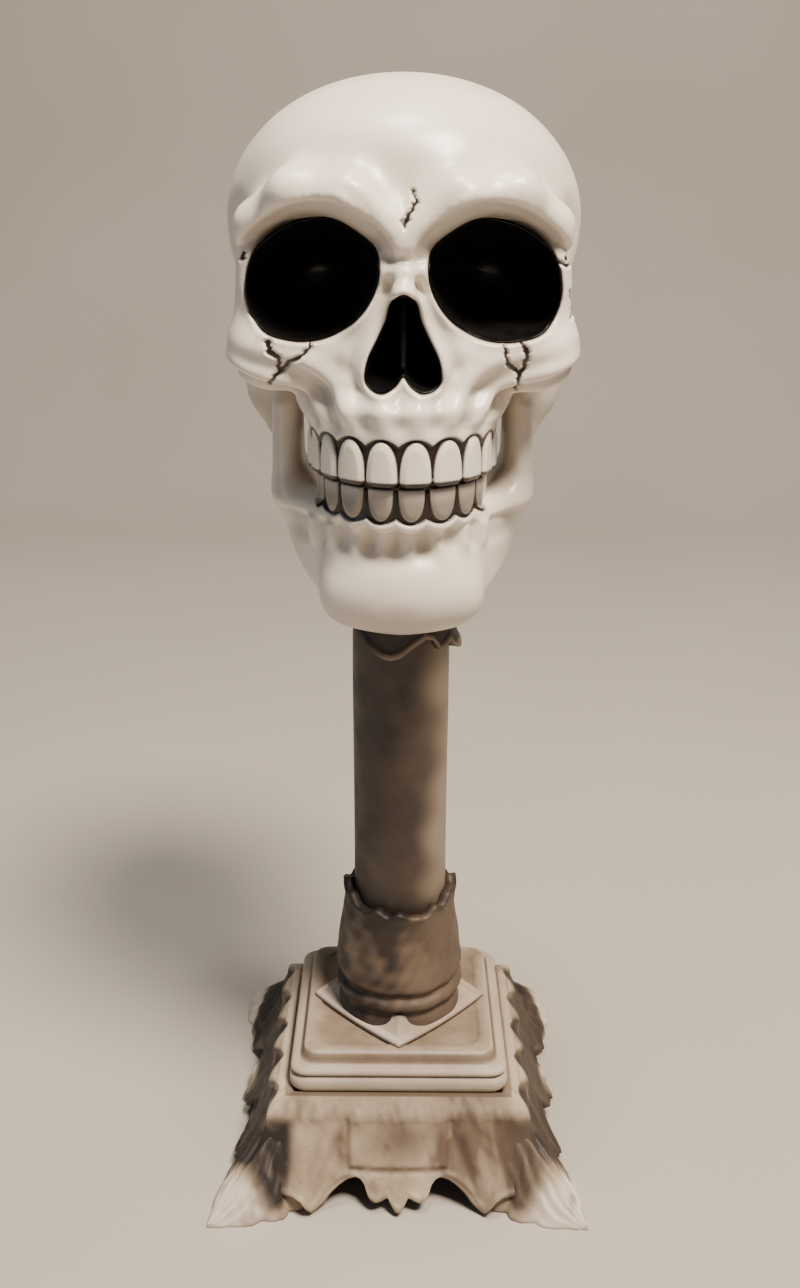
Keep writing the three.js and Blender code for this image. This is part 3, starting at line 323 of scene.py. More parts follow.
def skull_form(p):
    """Upper skull without eye and nose openings or fine relief."""
    q = mirrored(p)
    d = blend(cranium(q), ball(q, [0, -13, 155], [50, 43.5, 29]), 10)
    d = carve(d, ball(q, [77, -28, 130], [22, 25, 34]), 4)
    d = blend(d, ball(q, [0, 22, 92], [54, 50, 30]), 10)
    d = blend(d, ball(q, [0, -26, 106], [50, 30, 36]), 10)
    d = blend(d, ball(q, [0, -36, 78], [34, 31, 30]), 8)
    d = carve(d, rounded_box(q, [45, -8, 74], [9.5, 24, 27], 4), 3)
    d = blend(d, bone(q, [53, 29, 92], 11, [54, 28, 73], 7.5), 9)
    brow, *others = [bone(q, *a, *b) for a, b in zip(BROW, BROW[1:])]
    for part in others:
        brow = blend(brow, part, 6)
    d = blend(d, brow, 11)
    d = blend(d, ball(q, [45.5, -38, 97], [16, 16, 12.5]), 7)
    d = blend(d, bone(q, [52.5, -34, 97], 6.5, [57, 1, 98], 5.5), 7)
    d = blend(d, bone(q, [44, -46, 96], 8, [20, -55, 94], 8), 8)
    d = blend(d, bone(q, [0, -56, 132], 6.5, [0, -64.5, 120], 4.5), 5)
    d = blend(d, bone(q, [8, -57, 126], 5, [15, -58, 94], 5), 5)
    ridge = plan_ellipse(q[:, 0], q[:, 1] - TEETH_BACK, 28, 38)
    ridge = hypot(ridge, maximum(abs(q[:, 2] - 72) - 8, 0)) - 5
    d = blend(d, carve(ridge, -(q[:, 1] + 21), 4), 6)
    return maximum(d, DRAWN_FLOOR - p[:, 2])


def skull_relief(p):
    """How far the surface is pushed in, in mm: folds, rims, the step under the brow, cracks."""
    x, y, z = p.T
    s = abs(x)
    frown = line_distance(s, z, [(18.5, 149, 0.2), (14, 145, 0.7), (10.4, 139.2, 0.9), (8.6, 133, 0.3)])
    push = where(x < 0, 0.8, 0.4) * bump(maximum(frown, 0), 0, 1.8)
    push += 2.2 * bump(z, 128.2, 2.4) * bump(x, 0, 9.0) + 1.9 * bump(s, 24, 8) * bump(z, 94.5, 5.5)
    rim, lip = NOSE.distance(x, z), EYE.distance(s, z)
    push += 1.3 * bump(rim, 5.4, 2.2) * rise(z, 88, 94) - 1.3 * bump(rim, 1.3, 1.5)
    push -= 0.8 * bump(lip, 1.2, 1.3) * fall(z, 116, 128)
    push += 2.8 * fall(lip, 4.4, 6.8) * rise(z, 125, 135)
    return push * rise(-y, 22, 34) + 0.9 * bump(maximum(crack_distance(p), -0.2), 0, 0.45)


def root_flutes(p):
    """Ridges over the tooth roots that fan out to the cheeks; positive in the grooves."""
    z = p[:, 2]
    along, over = UPPER.along(p), maximum(z - 74, 0)
    outer = rise(abs(along), 12, 26)
    fan = along / (1 + 0.012 * over + 0.0011 * outer * over ** 2)
    reach = rise(z, 70.5, 76) * fall(z, 85 + 6 * outer, 92 + 8 * outer)
    return -(0.9 + 0.5 * outer) * UPPER.ridges(fan, 6.0) * reach * rise(-p[:, 1], 22, 34)


def upper_teeth(p):
    """Distance to the row, to the nearest tooth outline, and past the gum line."""
    s, z = UPPER.along(p), p[:, 2]
    row = UPPER.band(p, UPPER.bite, UPPER_ROOT, 1.6)
    q = UPPER.outline(s, z, 0.5)
    past = UPPER.past_gum(s, z)
    groove = rise(q, -0.5, 0.25) * fall(past, -0.5, 0.4)
    return row + 1.3 * groove - 0.8 * rise(-q, 0.0, 3.2), q, past


def upper_skull(p):
    x, y, z = p.T
    d = skull_form(p) + skull_relief(p)
    d = blend(d, upper_teeth(p)[0], 0.8 + 7.0 * rise(z, UPPER.bite + UPPER.arch + 1.5, UPPER_ROOT))
    d = d + root_flutes(p)
    eye = bowl_field(EYE.distance(abs(x), z) - CUP_FIT, y, EYE_STRAIGHT, EYE_DEPTH, EYE_ROUND)
    nose = bowl_field(NOSE.distance(x, z) - CUP_FIT, y, NOSE_STRAIGHT, NOSE_DEPTH, NOSE_ROUND)
    return carve(carve(d, eye, 1.6), nose, 1.2)


def face_field(p):
    return carve(upper_skull(p), PARTING - SEAM_GAP / 2 - p[:, 1], 0.7)


SCREW_SPOTS = [np.add(*box_mm(f"seam_screw_{i}"))[[0, 2]] / 2 - [0, CHIN_BOTTOM] for i in range(1, 5)]
SCREW_HOLE = 3.1
SCREW_SEAT = 4.0


def screw_shafts(p):
    return [hypot(p[:, 0] - x, p[:, 2] - z) - SCREW_HOLE for x, z in SCREW_SPOTS]


def rear_field(p):
    q = mirrored(p)
    d = blend(skull_form(p), bone(q, [52, 25.5, 86], 12, [50.5, 24.5, 60], 4.8), 10)
    d = carve(d, p[:, 1] - PARTING - SEAM_GAP / 2, 0.7)
    for shaft in screw_shafts(p):
        d = carve(d, maximum(shaft, PARTING + SCREW_SEAT - p[:, 1]), 0.6)
    return d


def jaw_form(p):
    q = mirrored(p)
    x, y, z = q.T
    back = clamp01((y + 60) / 56)
    lean = clamp01(z / 34)
    along = abs(plan_ellipse(x, y - 6, 40.5 + 6.5 * lean, 67) + 6) - 1
    bottom = 0.5 + 25 * back ** 1.5
    top = 44.5 + 4.5 * back ** 2
    across = abs(z - (bottom + top) / 2) - ((top - bottom) / 2 - 6)
    d = carve(rounded(stack([along, across], 1), 6), 7 - y, 8)
    d = blend(d, ball(q, [0, -52, 15], [27, 15, 14]), 11)
    d = blend(d, bone(q, [19, -50, 8.5], 8, [0, -54, 9], 9), 9)
    d = blend(d, bone(q, [43.4, -13, 42], 6.4, [43.6, -11, 74], 5.8, 0.38), 9)
    d = blend(d, bone(q, [43, -1, 74], 5, [43.2, 2, 86.5], 5.5), 6)
    return carve(d, ball(q, [0, -79, 32], [36, 16, 8]), 6)


def jaw_relief(p):
    x, y, z = p.T
    push = -1.4 * LOWER.ridges(LOWER.along(p), 5.4) * rise(z, 25, 32) * fall(z, 36.5, 39.5)
    push += 0.8 * bump(abs(x), 7.5, 5) * bump(z, 31, 4.5) + 0.8 * bump(x, 0, 6) * bump(z, 6, 5)
    return push * rise(-y, 20, 34)


def lower_teeth(p):
    s, z = LOWER.along(p), p[:, 2]
    row = LOWER.band(p, LOWER_ROOT, LOWER.bite, 1.5)
    q = LOWER.outline(s, z, 1.5)
    past = LOWER.past_gum(s, z)
    groove = rise(q, -0.5, 0.25) * fall(past, -0.5, 0.4)
    groove *= fall(abs(s), LOWER.end - 5, LOWER.end - 1)
    return row + 1.4 * groove - 0.7 * rise(-q, 0.0, 3.0) + 5.0 * rise(past, 1.4, 5.0), q, past


KNUCKLE_INNER = box_mm("jaw_washer_right")[1][0] + SEAM_GAP
PIVOT_HEAD = 2.2
KNUCKLE_OUTER = box_mm("jaw_pivot_right")[1][0] - PIVOT_HEAD - SEAM_GAP
KNUCKLE_RADIUS = 6.0
PIVOT_BORE = 2.3


def from_hinge(p):
    return hypot(p[:, 1] - HINGE[1], p[:, 2] - (HINGE[2] - CHIN_BOTTOM))


def jaw_field(p):
    d = jaw_form(p) + jaw_relief(p)
    d = blend(d, lower_teeth(p)[0], 0.8 + 3.0 * fall(p[:, 2], 35, 40))
    s, reach = abs(p[:, 0]), from_hinge(p)
    across = abs(s - (KNUCKLE_INNER + KNUCKLE_OUTER) / 2) - (KNUCKLE_OUTER - KNUCKLE_INNER) / 2
    d = blend(d, maximum(reach - KNUCKLE_RADIUS, across), 1.5)
    d = carve(d, maximum(reach - KNUCKLE_RADIUS - 2, s - KNUCKLE_INNER), 0.4)
    d = carve(d, maximum(reach - KNUCKLE_RADIUS + 0.5, KNUCKLE_OUTER - s), 0.4)
    return carve(d, reach - PIVOT_BORE, 0.4)


# Skinning: a net on a grid, then split where detail needs it and settled on the field
def slope_of(field, p, e=0.06):
    return stack([(field(p + e * way) - field(p - e * way)) / (2 * e) for way in np.eye(3)], 1)


def settle(field, p, steps, cap):
    for _ in range(steps):
        d = field(p)
        g = slope_of(field, p)
        move = -(d / maximum((g * g).sum(1), 0.05))[:, None] * g
        size = np.linalg.norm(move, axis=1, keepdims=True)
        p = p + move * minimum(1, cap / maximum(size, 1e-9))
    return p


# For each axis, the steps along it and along the two others
WAYS = [np.roll(np.eye(3, dtype=int), -axis, axis=0) for axis in range(3)]
CELL_RING = ((1, 1), (0, 1), (0, 0), (1, 0))


def net(field, low, high, step):
    """Skin of a field on a grid, one point in each cell that the surface passes through."""
    axes = [arange(a, b + step, step) for a, b in zip(low, high)]
    shape = tuple(len(a) for a in axes)
    grid = stack(np.meshgrid(*axes, indexing="ij"), -1).reshape(-1, 3)
    value = concatenate([field(part) for part in np.array_split(grid, 8)]).reshape(shape)
    inside = value < 0
    cells = tuple(n - 1 for n in shape)
    total, count = np.zeros(cells + (3,)), np.zeros(cells)
    corner = lambda o: tuple(slice(k, k + c) for k, c in zip(o, cells))
    for e, b, c in WAYS:
        for i, j in CELL_RING:
            o = i * b + j * c
            near, far = value[corner(o)], value[corner(o + e)]
            cross = (near < 0) != (far < 0)
            t = where(cross, near / where(cross, near - far, 1), 0)
            total += cross[..., None] * (o + t[..., None] * e)
            count += cross
    live = count > 0
    index = full(cells, -1)
    index[live] = arange(live.sum())
    points = array(low) + (np.argwhere(live) + total[live] / count[live][:, None]) * step
    quads = []
    for e, b, c in WAYS:
        near = tuple(slice(1 - k, n - 1) for k, n in zip(e, shape))
        far = tuple(slice(1, n - 1 + k) for k, n in zip(e, shape))
        at = np.argwhere(inside[near] != inside[far]) + 1 - e
        ring = stack([index[tuple((at - i * b - j * c).T)] for i, j in CELL_RING], 1)
        quads.append(where(inside[tuple(at.T)][:, None], ring, ring[:, ::-1]))
    quads = concatenate(quads)
    span = lambda i, j: np.linalg.norm(points[quads[:, i]] - points[quads[:, j]], axis=1)
    short = (span(0, 2) <= span(1, 3))[:, None]
    return points, where(short, quads[:, [0, 1, 2, 0, 2, 3]], quads[:, [1, 2, 3, 1, 3, 0]]).reshape(-1, 3)


def edges_of(faces):
    pairs = np.sort(concatenate([faces[:, [0, 1]], faces[:, [1, 2]], faces[:, [2, 0]]]), axis=1)
    edges, which = np.unique(pairs, axis=0, return_inverse=True)
    return edges, which.reshape(3, -1).T


def split_long(points, faces, size):
    edges, which = edges_of(faces)
    a, b = points[edges[:, 0]], points[edges[:, 1]]
    cut = np.linalg.norm(a - b, axis=1) > 1.45 * size((a + b) / 2)
    number = full(len(edges), -1)
    number[cut] = len(points) + arange(cut.sum())
    points = concatenate([points, ((a + b) / 2)[cut]])
    m = number[which]
    marked = m >= 0
    out = [faces[~marked.any(axis=1)]]
    tri = lambda *corners: stack(corners, 1)
    for turn in range(3):
        order = [(turn + k) % 3 for k in range(3)]
        on = marked[:, order].T
        one = on[0] & ~on[1] & ~on[2]
        (a, b, c), (ab, _, _) = faces[one][:, order].T, m[one][:, order].T
        out += [tri(a, ab, c), tri(ab, b, c)]
        two = on[0] & on[1] & ~on[2]
        (a, b, c), (ab, bc, _) = faces[two][:, order].T, m[two][:, order].T
        out += [tri(ab, b, bc), tri(a, ab, bc), tri(a, bc, c)]
    three = marked.all(axis=1)
    (a, b, c), (ab, bc, ca) = faces[three].T, m[three].T
    out += [tri(a, ab, ca), tri(ab, b, bc), tri(ca, bc, c), tri(ab, bc, ca)]
    return points, concatenate(out), cut.any()


def relax(field, points, faces, turns):
    edges, _ = edges_of(faces)
    degree = np.bincount(edges.ravel(), minlength=len(points))[:, None]
    for _ in range(turns):
        total = np.zeros_like(points)
        np.add.at(total, edges[:, 0], points[edges[:, 1]])
        np.add.at(total, edges[:, 1], points[edges[:, 0]])
        move = total / degree - points
        g = slope_of(field, points)
        g /= maximum(np.linalg.norm(g, axis=1, keepdims=True), 1e-6)
        move -= (move * g).sum(1, keepdims=True) * g
        points = settle(field, points + 0.5 * move, 1, 0.5)
    return points


def sculpt(field, low, high, step, size, passes):
    points, faces = net(field, low, high, step)
    points = settle(field, points, 2, step / 2)
    for _ in range(passes):
        before = len(points)
        points, faces, more = split_long(points, faces, size)
        points[before:] = settle(field, points[before:], 2, step / 3)
        if not more:
            break
    return relax(field, points, faces, 2), faces


def band(v, half):
    return abs(v) < half


def face_size(p):
    x, y, z = p.T
    s = abs(x)
    h = where(y < -10, 1.7, 2.3)
    h = where((y < -25) & (z > 74) & (z < 96), 1.1, h)
    h = where((UPPER.reach(p) > 1.0) & (z < 77) & (y < -20), 0.55, h)
    h = where((y < -40) & band(EYE.distance(s, z), 1.8), 0.7, h)
    h = where((y < -50) & band(NOSE.distance(x, z), 1.8), 0.6, h)
    h = where(band(y - PARTING, 1.2) & (skull_form(p) > -2.5), 0.9, h)
    return where(crack_distance(p) < 1.5, 0.4, h)


def rear_size(p):
    h = full(len(p), 2.3)
    h = where(band(p[:, 1] - PARTING, 1.2) & (skull_form(p) > -2.5), 0.9, h)
    for shaft in screw_shafts(p):
        h = where(band(shaft, 2.0) & (skull_form(p) > -6), 0.6, h)
    return h


def jaw_size(p):
    x, y, z = p.T
    h = where(y < -20, 1.5, 2.0)
    h = where((LOWER.reach(p) > 1.0) & (z > 36) & (y < -22), 0.55, h)
    return where(from_hinge(p) < KNUCKLE_RADIUS + 2.5, 0.8, h)


# Scene pieces
def add_piece(name, points, faces, slot, node, paint=None, body="stand"):
    mesh = bpy.data.meshes.new(name)
    mesh.from_pydata((np.asarray(points) * MM).tolist(), [], [list(map(int, f)) for f in faces])
    mesh.validate()
    for key, values in (paint or {}).items():
        layer = mesh.attributes.new(key, "FLOAT", "POINT")
        layer.data.foreach_set("value", np.asarray(values, np.float32))
    mesh.shade_smooth()
    piece = bpy.data.objects.new(name, mesh)
    bpy.context.scene.collection.objects.link(piece)
    mesh.materials.append(MATERIALS[slot])
    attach(piece, body)
    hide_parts(node)


def lift(points):
    return points + [0, 0, CHIN_BOTTOM]


def merge(parts):
    points, faces, start = [], [], 0
    for p, f in parts:
        points.append(np.asarray(p, float).reshape(-1, 3))
        faces += [tuple(int(k) + start for k in face) for face in f]
        start += len(points[-1])
    return concatenate(points), faces


def ring_shell(rings):
    """Closed skin through rings of equal counts; the last ring joins the first."""
    rings = np.asarray(rings)
    at = arange(rings.shape[0] * rings.shape[1]).reshape(rings.shape[:2])
    after, up = np.roll(at, -1, axis=1), np.roll(at, -1, axis=0)
    faces = stack([at, after, np.roll(after, -1, axis=0), up], -1)
    return rings.reshape(-1, 3), faces.reshape(-1, 4)


def slab(front, back):
    """Closed sheet from two grids of equal size, front and back."""
    rows, cols = front.shape[:2]
    at = arange(rows * cols).reshape(rows, cols)
    quads = stack([at[:-1, :-1], at[:-1, 1:], at[1:, 1:], at[1:, :-1]], -1).reshape(-1, 4)
    edge = concatenate([at[0], at[1:, -1], at[-1, -2::-1], at[-2:0:-1, 0]])
    after = np.roll(edge, -1)
    rim = stack([after, edge, edge + at.size, after + at.size], 1)
    points = concatenate([front.reshape(-1, 3), back.reshape(-1, 3)])
    return points, concatenate([quads, quads[:, [0, 3, 2, 1]] + at.size, rim])


def turned(points, angle):
    c, n = math.cos(angle), math.sin(angle)
    return points @ array([[c, n, 0], [-n, c, 0], [0, 0, 1]])


# Materials
def new_material(name):
    material = bpy.data.materials.new(name)
    material.use_nodes = True
    tree = material.node_tree
    return material, tree, tree.nodes["Principled BSDF"]


def link(tree, a, b):
    tree.links.new(a, b)


def noise_node(tree, scale, detail=4.0, rough=0.55):
    coords = tree.nodes.new("ShaderNodeTexCoord")
    node = tree.nodes.new("ShaderNodeTexNoise")
    node.inputs["Scale"].default_value = scale
    node.inputs["Detail"].default_value = detail
    node.inputs["Roughness"].default_value = rough
    link(tree, coords.outputs["Object"], node.inputs["Vector"])
    return node.outputs["Fac"]


def ramp_node(tree, source, stops):
    node = tree.nodes.new("ShaderNodeValToRGB")
    ramp = node.color_ramp
    while len(ramp.elements) < len(stops):
        ramp.elements.new(0.5)
    for element, (place, colour) in zip(ramp.elements, stops):
        element.position = place
        element.color = (colour,) * 3 + (1,) if isinstance(colour, float) else (*colour, 1)
    link(tree, source, node.inputs["Fac"])
    return node.outputs["Color"]


def mix_node(tree, factor, below, colour):
    node = tree.nodes.new("ShaderNodeMix")
    node.data_type = "RGBA"
    link(tree, factor, node.inputs[0])
    link(tree, below, node.inputs[6])
    node.inputs[7].default_value = (*colour, 1)
    return node.outputs[2]


def layer_node(tree, key):
    node = tree.nodes.new("ShaderNodeAttribute")
    node.attribute_name = key
    return node.outputs["Fac"]


def bump_node(tree, shader, height, strength, distance):
    node = tree.nodes.new("ShaderNodeBump")
    node.inputs["Strength"].default_value = strength
    node.inputs["Distance"].default_value = distance
    link(tree, height, node.inputs["Height"])
    link(tree, node.outputs["Normal"], shader.inputs["Normal"])


def speck_node(tree):
    return ramp_node(tree, noise_node(tree, 420, 3), [(0.60, 0.0), (0.72, 0.35)])


def painted(name, cloud, tones, layers=(), gloss=(), grain=(), settings=()):
    """Clouded tones under painted layers, with uneven gloss and a fine grain."""
    material, tree, shader = new_material(name)
    tone = ramp_node(tree, noise_node(tree, *cloud), tones)
    for key, colour in layers:
        factor = speck_node(tree) if key == "speck" else layer_node(tree, key)
        tone = mix_node(tree, factor, tone, colour)
    link(tree, tone, shader.inputs["Base Color"])
    if gloss:
        link(tree, ramp_node(tree, noise_node(tree, *gloss[0]), gloss[1:]), shader.inputs["Roughness"])
    if grain:
        bump_node(tree, shader, noise_node(tree, *grain[0]), *grain[1:])
    for key, value in settings:
        shader.inputs[key].default_value = value
    return material


MATERIALS = {
    # Bone layers: brownish painted shade; the teeth's own colour; painted shade that darkens the lower teeth;
    # near-black for the painted outlines and cracks, which also carries painted shade at the bite.
    "bone": painted(
        "bone_gloss", (22, 5), [(0.3, (0.84, 0.76, 0.65)), (0.7, (0.89, 0.825, 0.73))],
        [("shade", (0.36, 0.32, 0.27)), ("tooth", (0.87, 0.80, 0.70)), ("tooth_shade", (0.26, 0.235, 0.20)),
         ("dark_paint_and_shade", (0.018, 0.010, 0.006))],
        [(60, 3), (0.3, 0.30), (0.75, 0.42)], [(260, 3), 0.06, 0.0006],
        [("Coat Weight", 0.2), ("Coat Roughness", 0.22)]),
    "socket_black": painted(
        "socket_gloss", (90, 3), [(0.35, (0.004, 0.004, 0.004)), (0.7, (0.010, 0.009, 0.008))],
        gloss=[(120, 2), (0.3, 0.24), (0.7, 0.34)]),
    # Stone layers: random specks; a light tone for lighter paint and painted highlights; brown for the base's
    # own brown patches and for painted shade in recesses and under the tiers; near-black for dark paint in
    # the side waists and at the feet, and for painted shade on the left and in grooves.
    "stone": painted(
        "stone_paint", (40, 6, 0.62),
        [(0.30, (0.21, 0.155, 0.105)), (0.5, (0.33, 0.26, 0.185)), (0.72, (0.46, 0.375, 0.285))],
        [("speck", (0.16, 0.12, 0.09)), ("pale_paint_and_highlight", (0.60, 0.53, 0.45)), ("shade", (0.115, 0.078, 0.052)),
         ("dark_paint_and_shade", (0.016, 0.011, 0.009))],
        [(120, 4), (0.3, 0.5), (0.7, 0.72)], [(300, 5, 0.65), 0.25, 0.0008]),
    # Smoke layers: a light tone used as painted highlight on the right and on the torn lip; near-black used
    # as painted shade on the left, and as the upper socket's own darker colour.
    "smoke": painted(
        "smoke_paint", (26, 4),
        [(0.30, (0.020, 0.014, 0.011)), (0.52, (0.040, 0.027, 0.020)), (0.75, (0.085, 0.060, 0.043))],
        [("pale_paint_and_highlight", (0.36, 0.285, 0.205)), ("dark_paint_and_shade", (0.012, 0.009, 0.008))],
        [(90, 3), (0.3, 0.42), (0.7, 0.6)], [(340, 4), 0.15, 0.0006]),
    "steel": painted(
        "zinc_steel", (180, 4), [(0.3, (0.42, 0.42, 0.41)), (0.7, (0.62, 0.62, 0.60))],
        gloss=[(320, 3), (0.3, 0.25), (0.7, 0.45)], settings=[("Metallic", 1.0)]),
    "nylon": painted(
        "nylon", (180, 4), [(0.3, (0.60, 0.59, 0.56)), (0.7, (0.72, 0.71, 0.68))],
        gloss=[(320, 3), (0.3, 0.45), (0.7, 0.6)]),
}


def dress_frame():
    for part in frame["record"]["subparts"]:
        mesh = frame["nodes"][part["node"]].data
        mesh.materials.clear()
        mesh.materials.append(MATERIALS[part["material_slot"]])


# Skull pieces
def clouds(p):
    return 0.088 * rise(waves(p, 3), 0.35, 1.1)


def face_paint(p):
    x, y, z = p.T
    s = abs(x)
    _, q, past = upper_teeth(p)
    on_row = rise(-y, 20, 26) * (UPPER.reach(p) > 0.6)
    # Near-black layer: the skull's own painted tooth outlines, cracks and hole rims, plus painted shade along
    # the lower edge of the upper teeth, in the gap at the bite.
    line = rise(q, -0.45, 0.05) * fall(past, -0.35, 0.3)
    line = maximum(line, fall(z, UPPER.bite + 1.0, UPPER.bite + 1.5))
    dark_paint_and_shade = maximum(line * on_row, fall(crack_distance(p), -0.25, 0.3))
    hole = minimum(EYE.distance(s, z), NOSE.distance(x, z))
    dark_paint_and_shade = maximum(dark_paint_and_shade, fall(hole, 0.35, 0.8) * (y < -30))
    tooth = on_row * rise(-q, 0.0, 0.6)
    # Painted shade: darker where the surface is pushed in and in the grooves between the root ridges, a band
    # of painted shade under the brow step above each eye, and a soft band of painted shade across the lower
    # forehead; the clouds are random mottling.
    shade = 0.30 * rise(skull_relief(p), 0.5, 2.4) * rise(-y, 20, 30) + 0.38 * rise(root_flutes(p), 0.1, 0.9)
    over = EYE.distance(s, z)
    under_brow_shade = fall(over, 4.6, 6.6) * rise(z, 126, 134) * rise(-y, 28, 34)
    shade += (0.26 + 0.4 * fall(over, 0.5, 4.5)) * under_brow_shade
    shade += 0.26 * bump(z, 160, 9) * bump(x, 0, 32) * rise(-y, 38, 52)
    return {"dark_paint_and_shade": dark_paint_and_shade, "tooth": tooth, "shade": clamp01(shade + clouds(p))}


def rear_paint(p):
    # Random mottling, and painted shade darkening the back piece towards its bottom, over the mastoids.
    return {"shade": clouds(p) + 0.7 * fall(p[:, 2], 68, 84)}


def jaw_paint(p):
    x, y, z = p.T
    _, q, past = lower_teeth(p)
    reach = LOWER.reach(p)
    on_row = rise(-y, 22, 28) * (reach > 0.6) * (reach < 5.5) * (z < LOWER.bite + 0.5)
    on_row *= fall(abs(LOWER.along(p)), LOWER.end - 5, LOWER.end - 1)
    line = rise(q, -0.5, 0.05) * fall(past, -0.35, 0.3)
    # Painted shade along the top of the lower teeth, in the gap at the bite; the outlines are the teeth's own
    # paint.
    line = maximum(line, rise(z, LOWER.bite - 0.9, LOWER.bite - 0.3))
    tooth = on_row * rise(-q, 0.0, 0.6)
    # Lower teeth darkened as painted shade under the upper row, more away from the biting edge.
    tooth_shade = tooth * (0.62 + 0.38 * rise(LOWER.bite - z, 0.8, 7.0))
    # Painted shade where the surface is pushed in between the roots, under the chin and on the outer sides of
    # the jaw.
    shade = 0.24 * rise(jaw_relief(p), 0.2, 1.6) * rise(-y, 22, 32) + 0.5 * fall(z, 3, 13)
    shade += 0.35 * rise(abs(x), 33, 41) * rise(y, -48, -30)
    return {"dark_paint_and_shade": line * on_row, "tooth": tooth, "shade": clamp01(shade), "tooth_shade": tooth_shade}


# Per piece: name, node, body, field, search box, first step in mm, edge sizes, passes, paint
SCULPTED = [
    ("face", "face_shell", "stand",
     face_field, (-72, -80, 50), (72, 14, 194), 2.4, face_size, 6, face_paint),
    ("skull_back", "rear_shell", "stand",
     rear_field, (-72, 8, 46), (72, 84, 194), 1.8, rear_size, 4, rear_paint),
    ("jaw_bone", "lower_jaw", "jaw",
     jaw_field, (-58, -74, -6), (58, 16, 96), 2.2, jaw_size, 5, jaw_paint),
]


def build_skull():
    for name, node, body, *how, paint in SCULPTED:
        points, faces = sculpt(*how)
        add_piece(name, lift(points), faces, "bone", node, paint(points), body)


# Glossy bowls behind the eyes and nose
def front_edge(x, z, start, stop, recess):
    """Y where a line from the front meets the skull, a little below its surface."""
    y = full(len(x), start)
    for _ in range(60):
        at = stack([x, y, z], 1)
        d = skull_form(at) + skull_relief(at) + recess
        y = minimum(y + np.clip(d, 0, 6) * 0.8, stop)
    return y


def bowl_piece(name, node, outline, mirror, straight, depth, wall, septum=()):
    rings, sides = 20, len(outline.points)
    rays = outline.points - outline.middle
    length = np.linalg.norm(rays, axis=1, keepdims=True)

    def shrunk(amount, least):
        return outline.middle + rays * maximum(1 - amount / length, least)

    def surface(inset, deep):
        x, z = shrunk(min(inset, 0.15), 0.04).T
        y0 = front_edge(x, z, -85.0, straight, 1.0)
        rows = [stack([x, y0, z], 1)]
        for k in range(1, rings + 1):
            angle = k / rings * math.pi / 2
            t = math.sin(angle)
            x, z = shrunk(inset * min(1, 3 * k / rings) + (1 - math.cos(angle)) * (length - inset), 0.0).T
            rows.append(stack([x, y0 * (1 - t) + (straight + deep) * t, z], 1))
        return concatenate(rows[:-1]), rows[-1].mean(axis=0)

    inner, inner_hub = surface(wall, depth - wall)
    outer, outer_hub = surface(0.0, depth)
    points = concatenate([inner, outer, [inner_hub, outer_hub]])
    points[:, 0] *= mirror
    shift = len(inner)
    at = arange(shift).reshape(rings, sides)
    after = np.roll(at, -1, axis=1)
    quads = stack([at[:-1], after[:-1], after[1:], at[1:]], -1).reshape(-1, 4)
    fan = column_stack([at[-1], after[-1], full(sides, 2 * shift)])
    rim = column_stack([at[0], shift + at[0], shift + after[0], after[0]])
    faces = [*quads, *(shift + quads[:, [0, 3, 2, 1]]), *fan, *(fan[:, [1, 0, 2]] + [shift, shift, 1]), *rim]
    if mirror > 0:
        faces = [f[::-1] for f in faces]
    points, faces = merge([(lift(points), faces), *septum])
    add_piece(name, points, faces, "socket_black", node)


EYE_WALL, NOSE_WALL = 1.8, 1.4
SEPTUM_HALF, SEPTUM_FOOT, SEPTUM_TALL, SEPTUM_LEAN = 0.8, (-59.5, 92.5), 21, 3.5


def septum_piece():
    y, z = SEPTUM_FOOT
    back = NOSE_STRAIGHT + NOSE_DEPTH - 5
    row = lambda x, t: [(x, at, z + SEPTUM_TALL * t) for at in linspace(y + SEPTUM_LEAN * t, back, 6)]
    side = lambda x: lift(array([row(x, t) for t in linspace(0, 1, 9)]))
    return slab(side(SEPTUM_HALF), side(-SEPTUM_HALF))


def build_bowls():
    for name, mirror in (("right", 1), ("left", -1)):
        bowl_piece("eye_bowl_" + name, "eye_cup_" + name, EYE, mirror, EYE_STRAIGHT, EYE_DEPTH, EYE_WALL)
    bowl_piece("nose_bowl", "nose_cup", NOSE, 1, NOSE_STRAIGHT, NOSE_DEPTH, NOSE_WALL, [septum_piece()])


# Base: tiers, apron and corner leaves
BASE_HALF = box_mm("base_shell")[1][0]
SOCKET_LOW, SOCKET_HIGH = box_mm("column_socket")
TIER_TOP = SOCKET_LOW[2] - 0.2
COLUMN_LOW, COLUMN_HIGH = box_mm("column_tube")
COLUMN_RADIUS = COLUMN_HIGH[0]
NECK_LOW, NECK_HIGH = box_mm("neck_socket")
ROD_HOLE = 3.3
UPPER_HALF, LOWER_HALF, SHOULDER_HALF, APRON_HALF = 41.0, 47.0, 56.0, 73.0
TIER_ROUND = 7.0
FLARE = 1.35
APRON_TOP, SHOULDER_LOW, HEM_LOW = TIER_TOP - 16.5, TIER_TOP - 23.5, 2.5
SHOULDER_DROP = APRON_TOP - SHOULDER_LOW
APRON_WALL = 3.0


STRAIGHT_STEPS = array([[0.02], [0.2], [0.4], [0.6], [0.8], [0.98]])


def rounded_square(half, corner, each=10):
    arcs = []
    for k, way in enumerate([(1, 1), (-1, 1), (-1, -1), (1, -1)]):
        a = linspace(k, k + 1, each)[:, None] * math.pi / 2
        arcs.append((half - corner) * array(way) + corner * np.hstack([cos(a), sin(a)]))
    sides = [a[-1] + (b[0] - a[-1]) * STRAIGHT_STEPS for a, b in zip(arcs, arcs[1:] + arcs[:1])]
    return concatenate([part for pair in zip(arcs, sides) for part in pair])


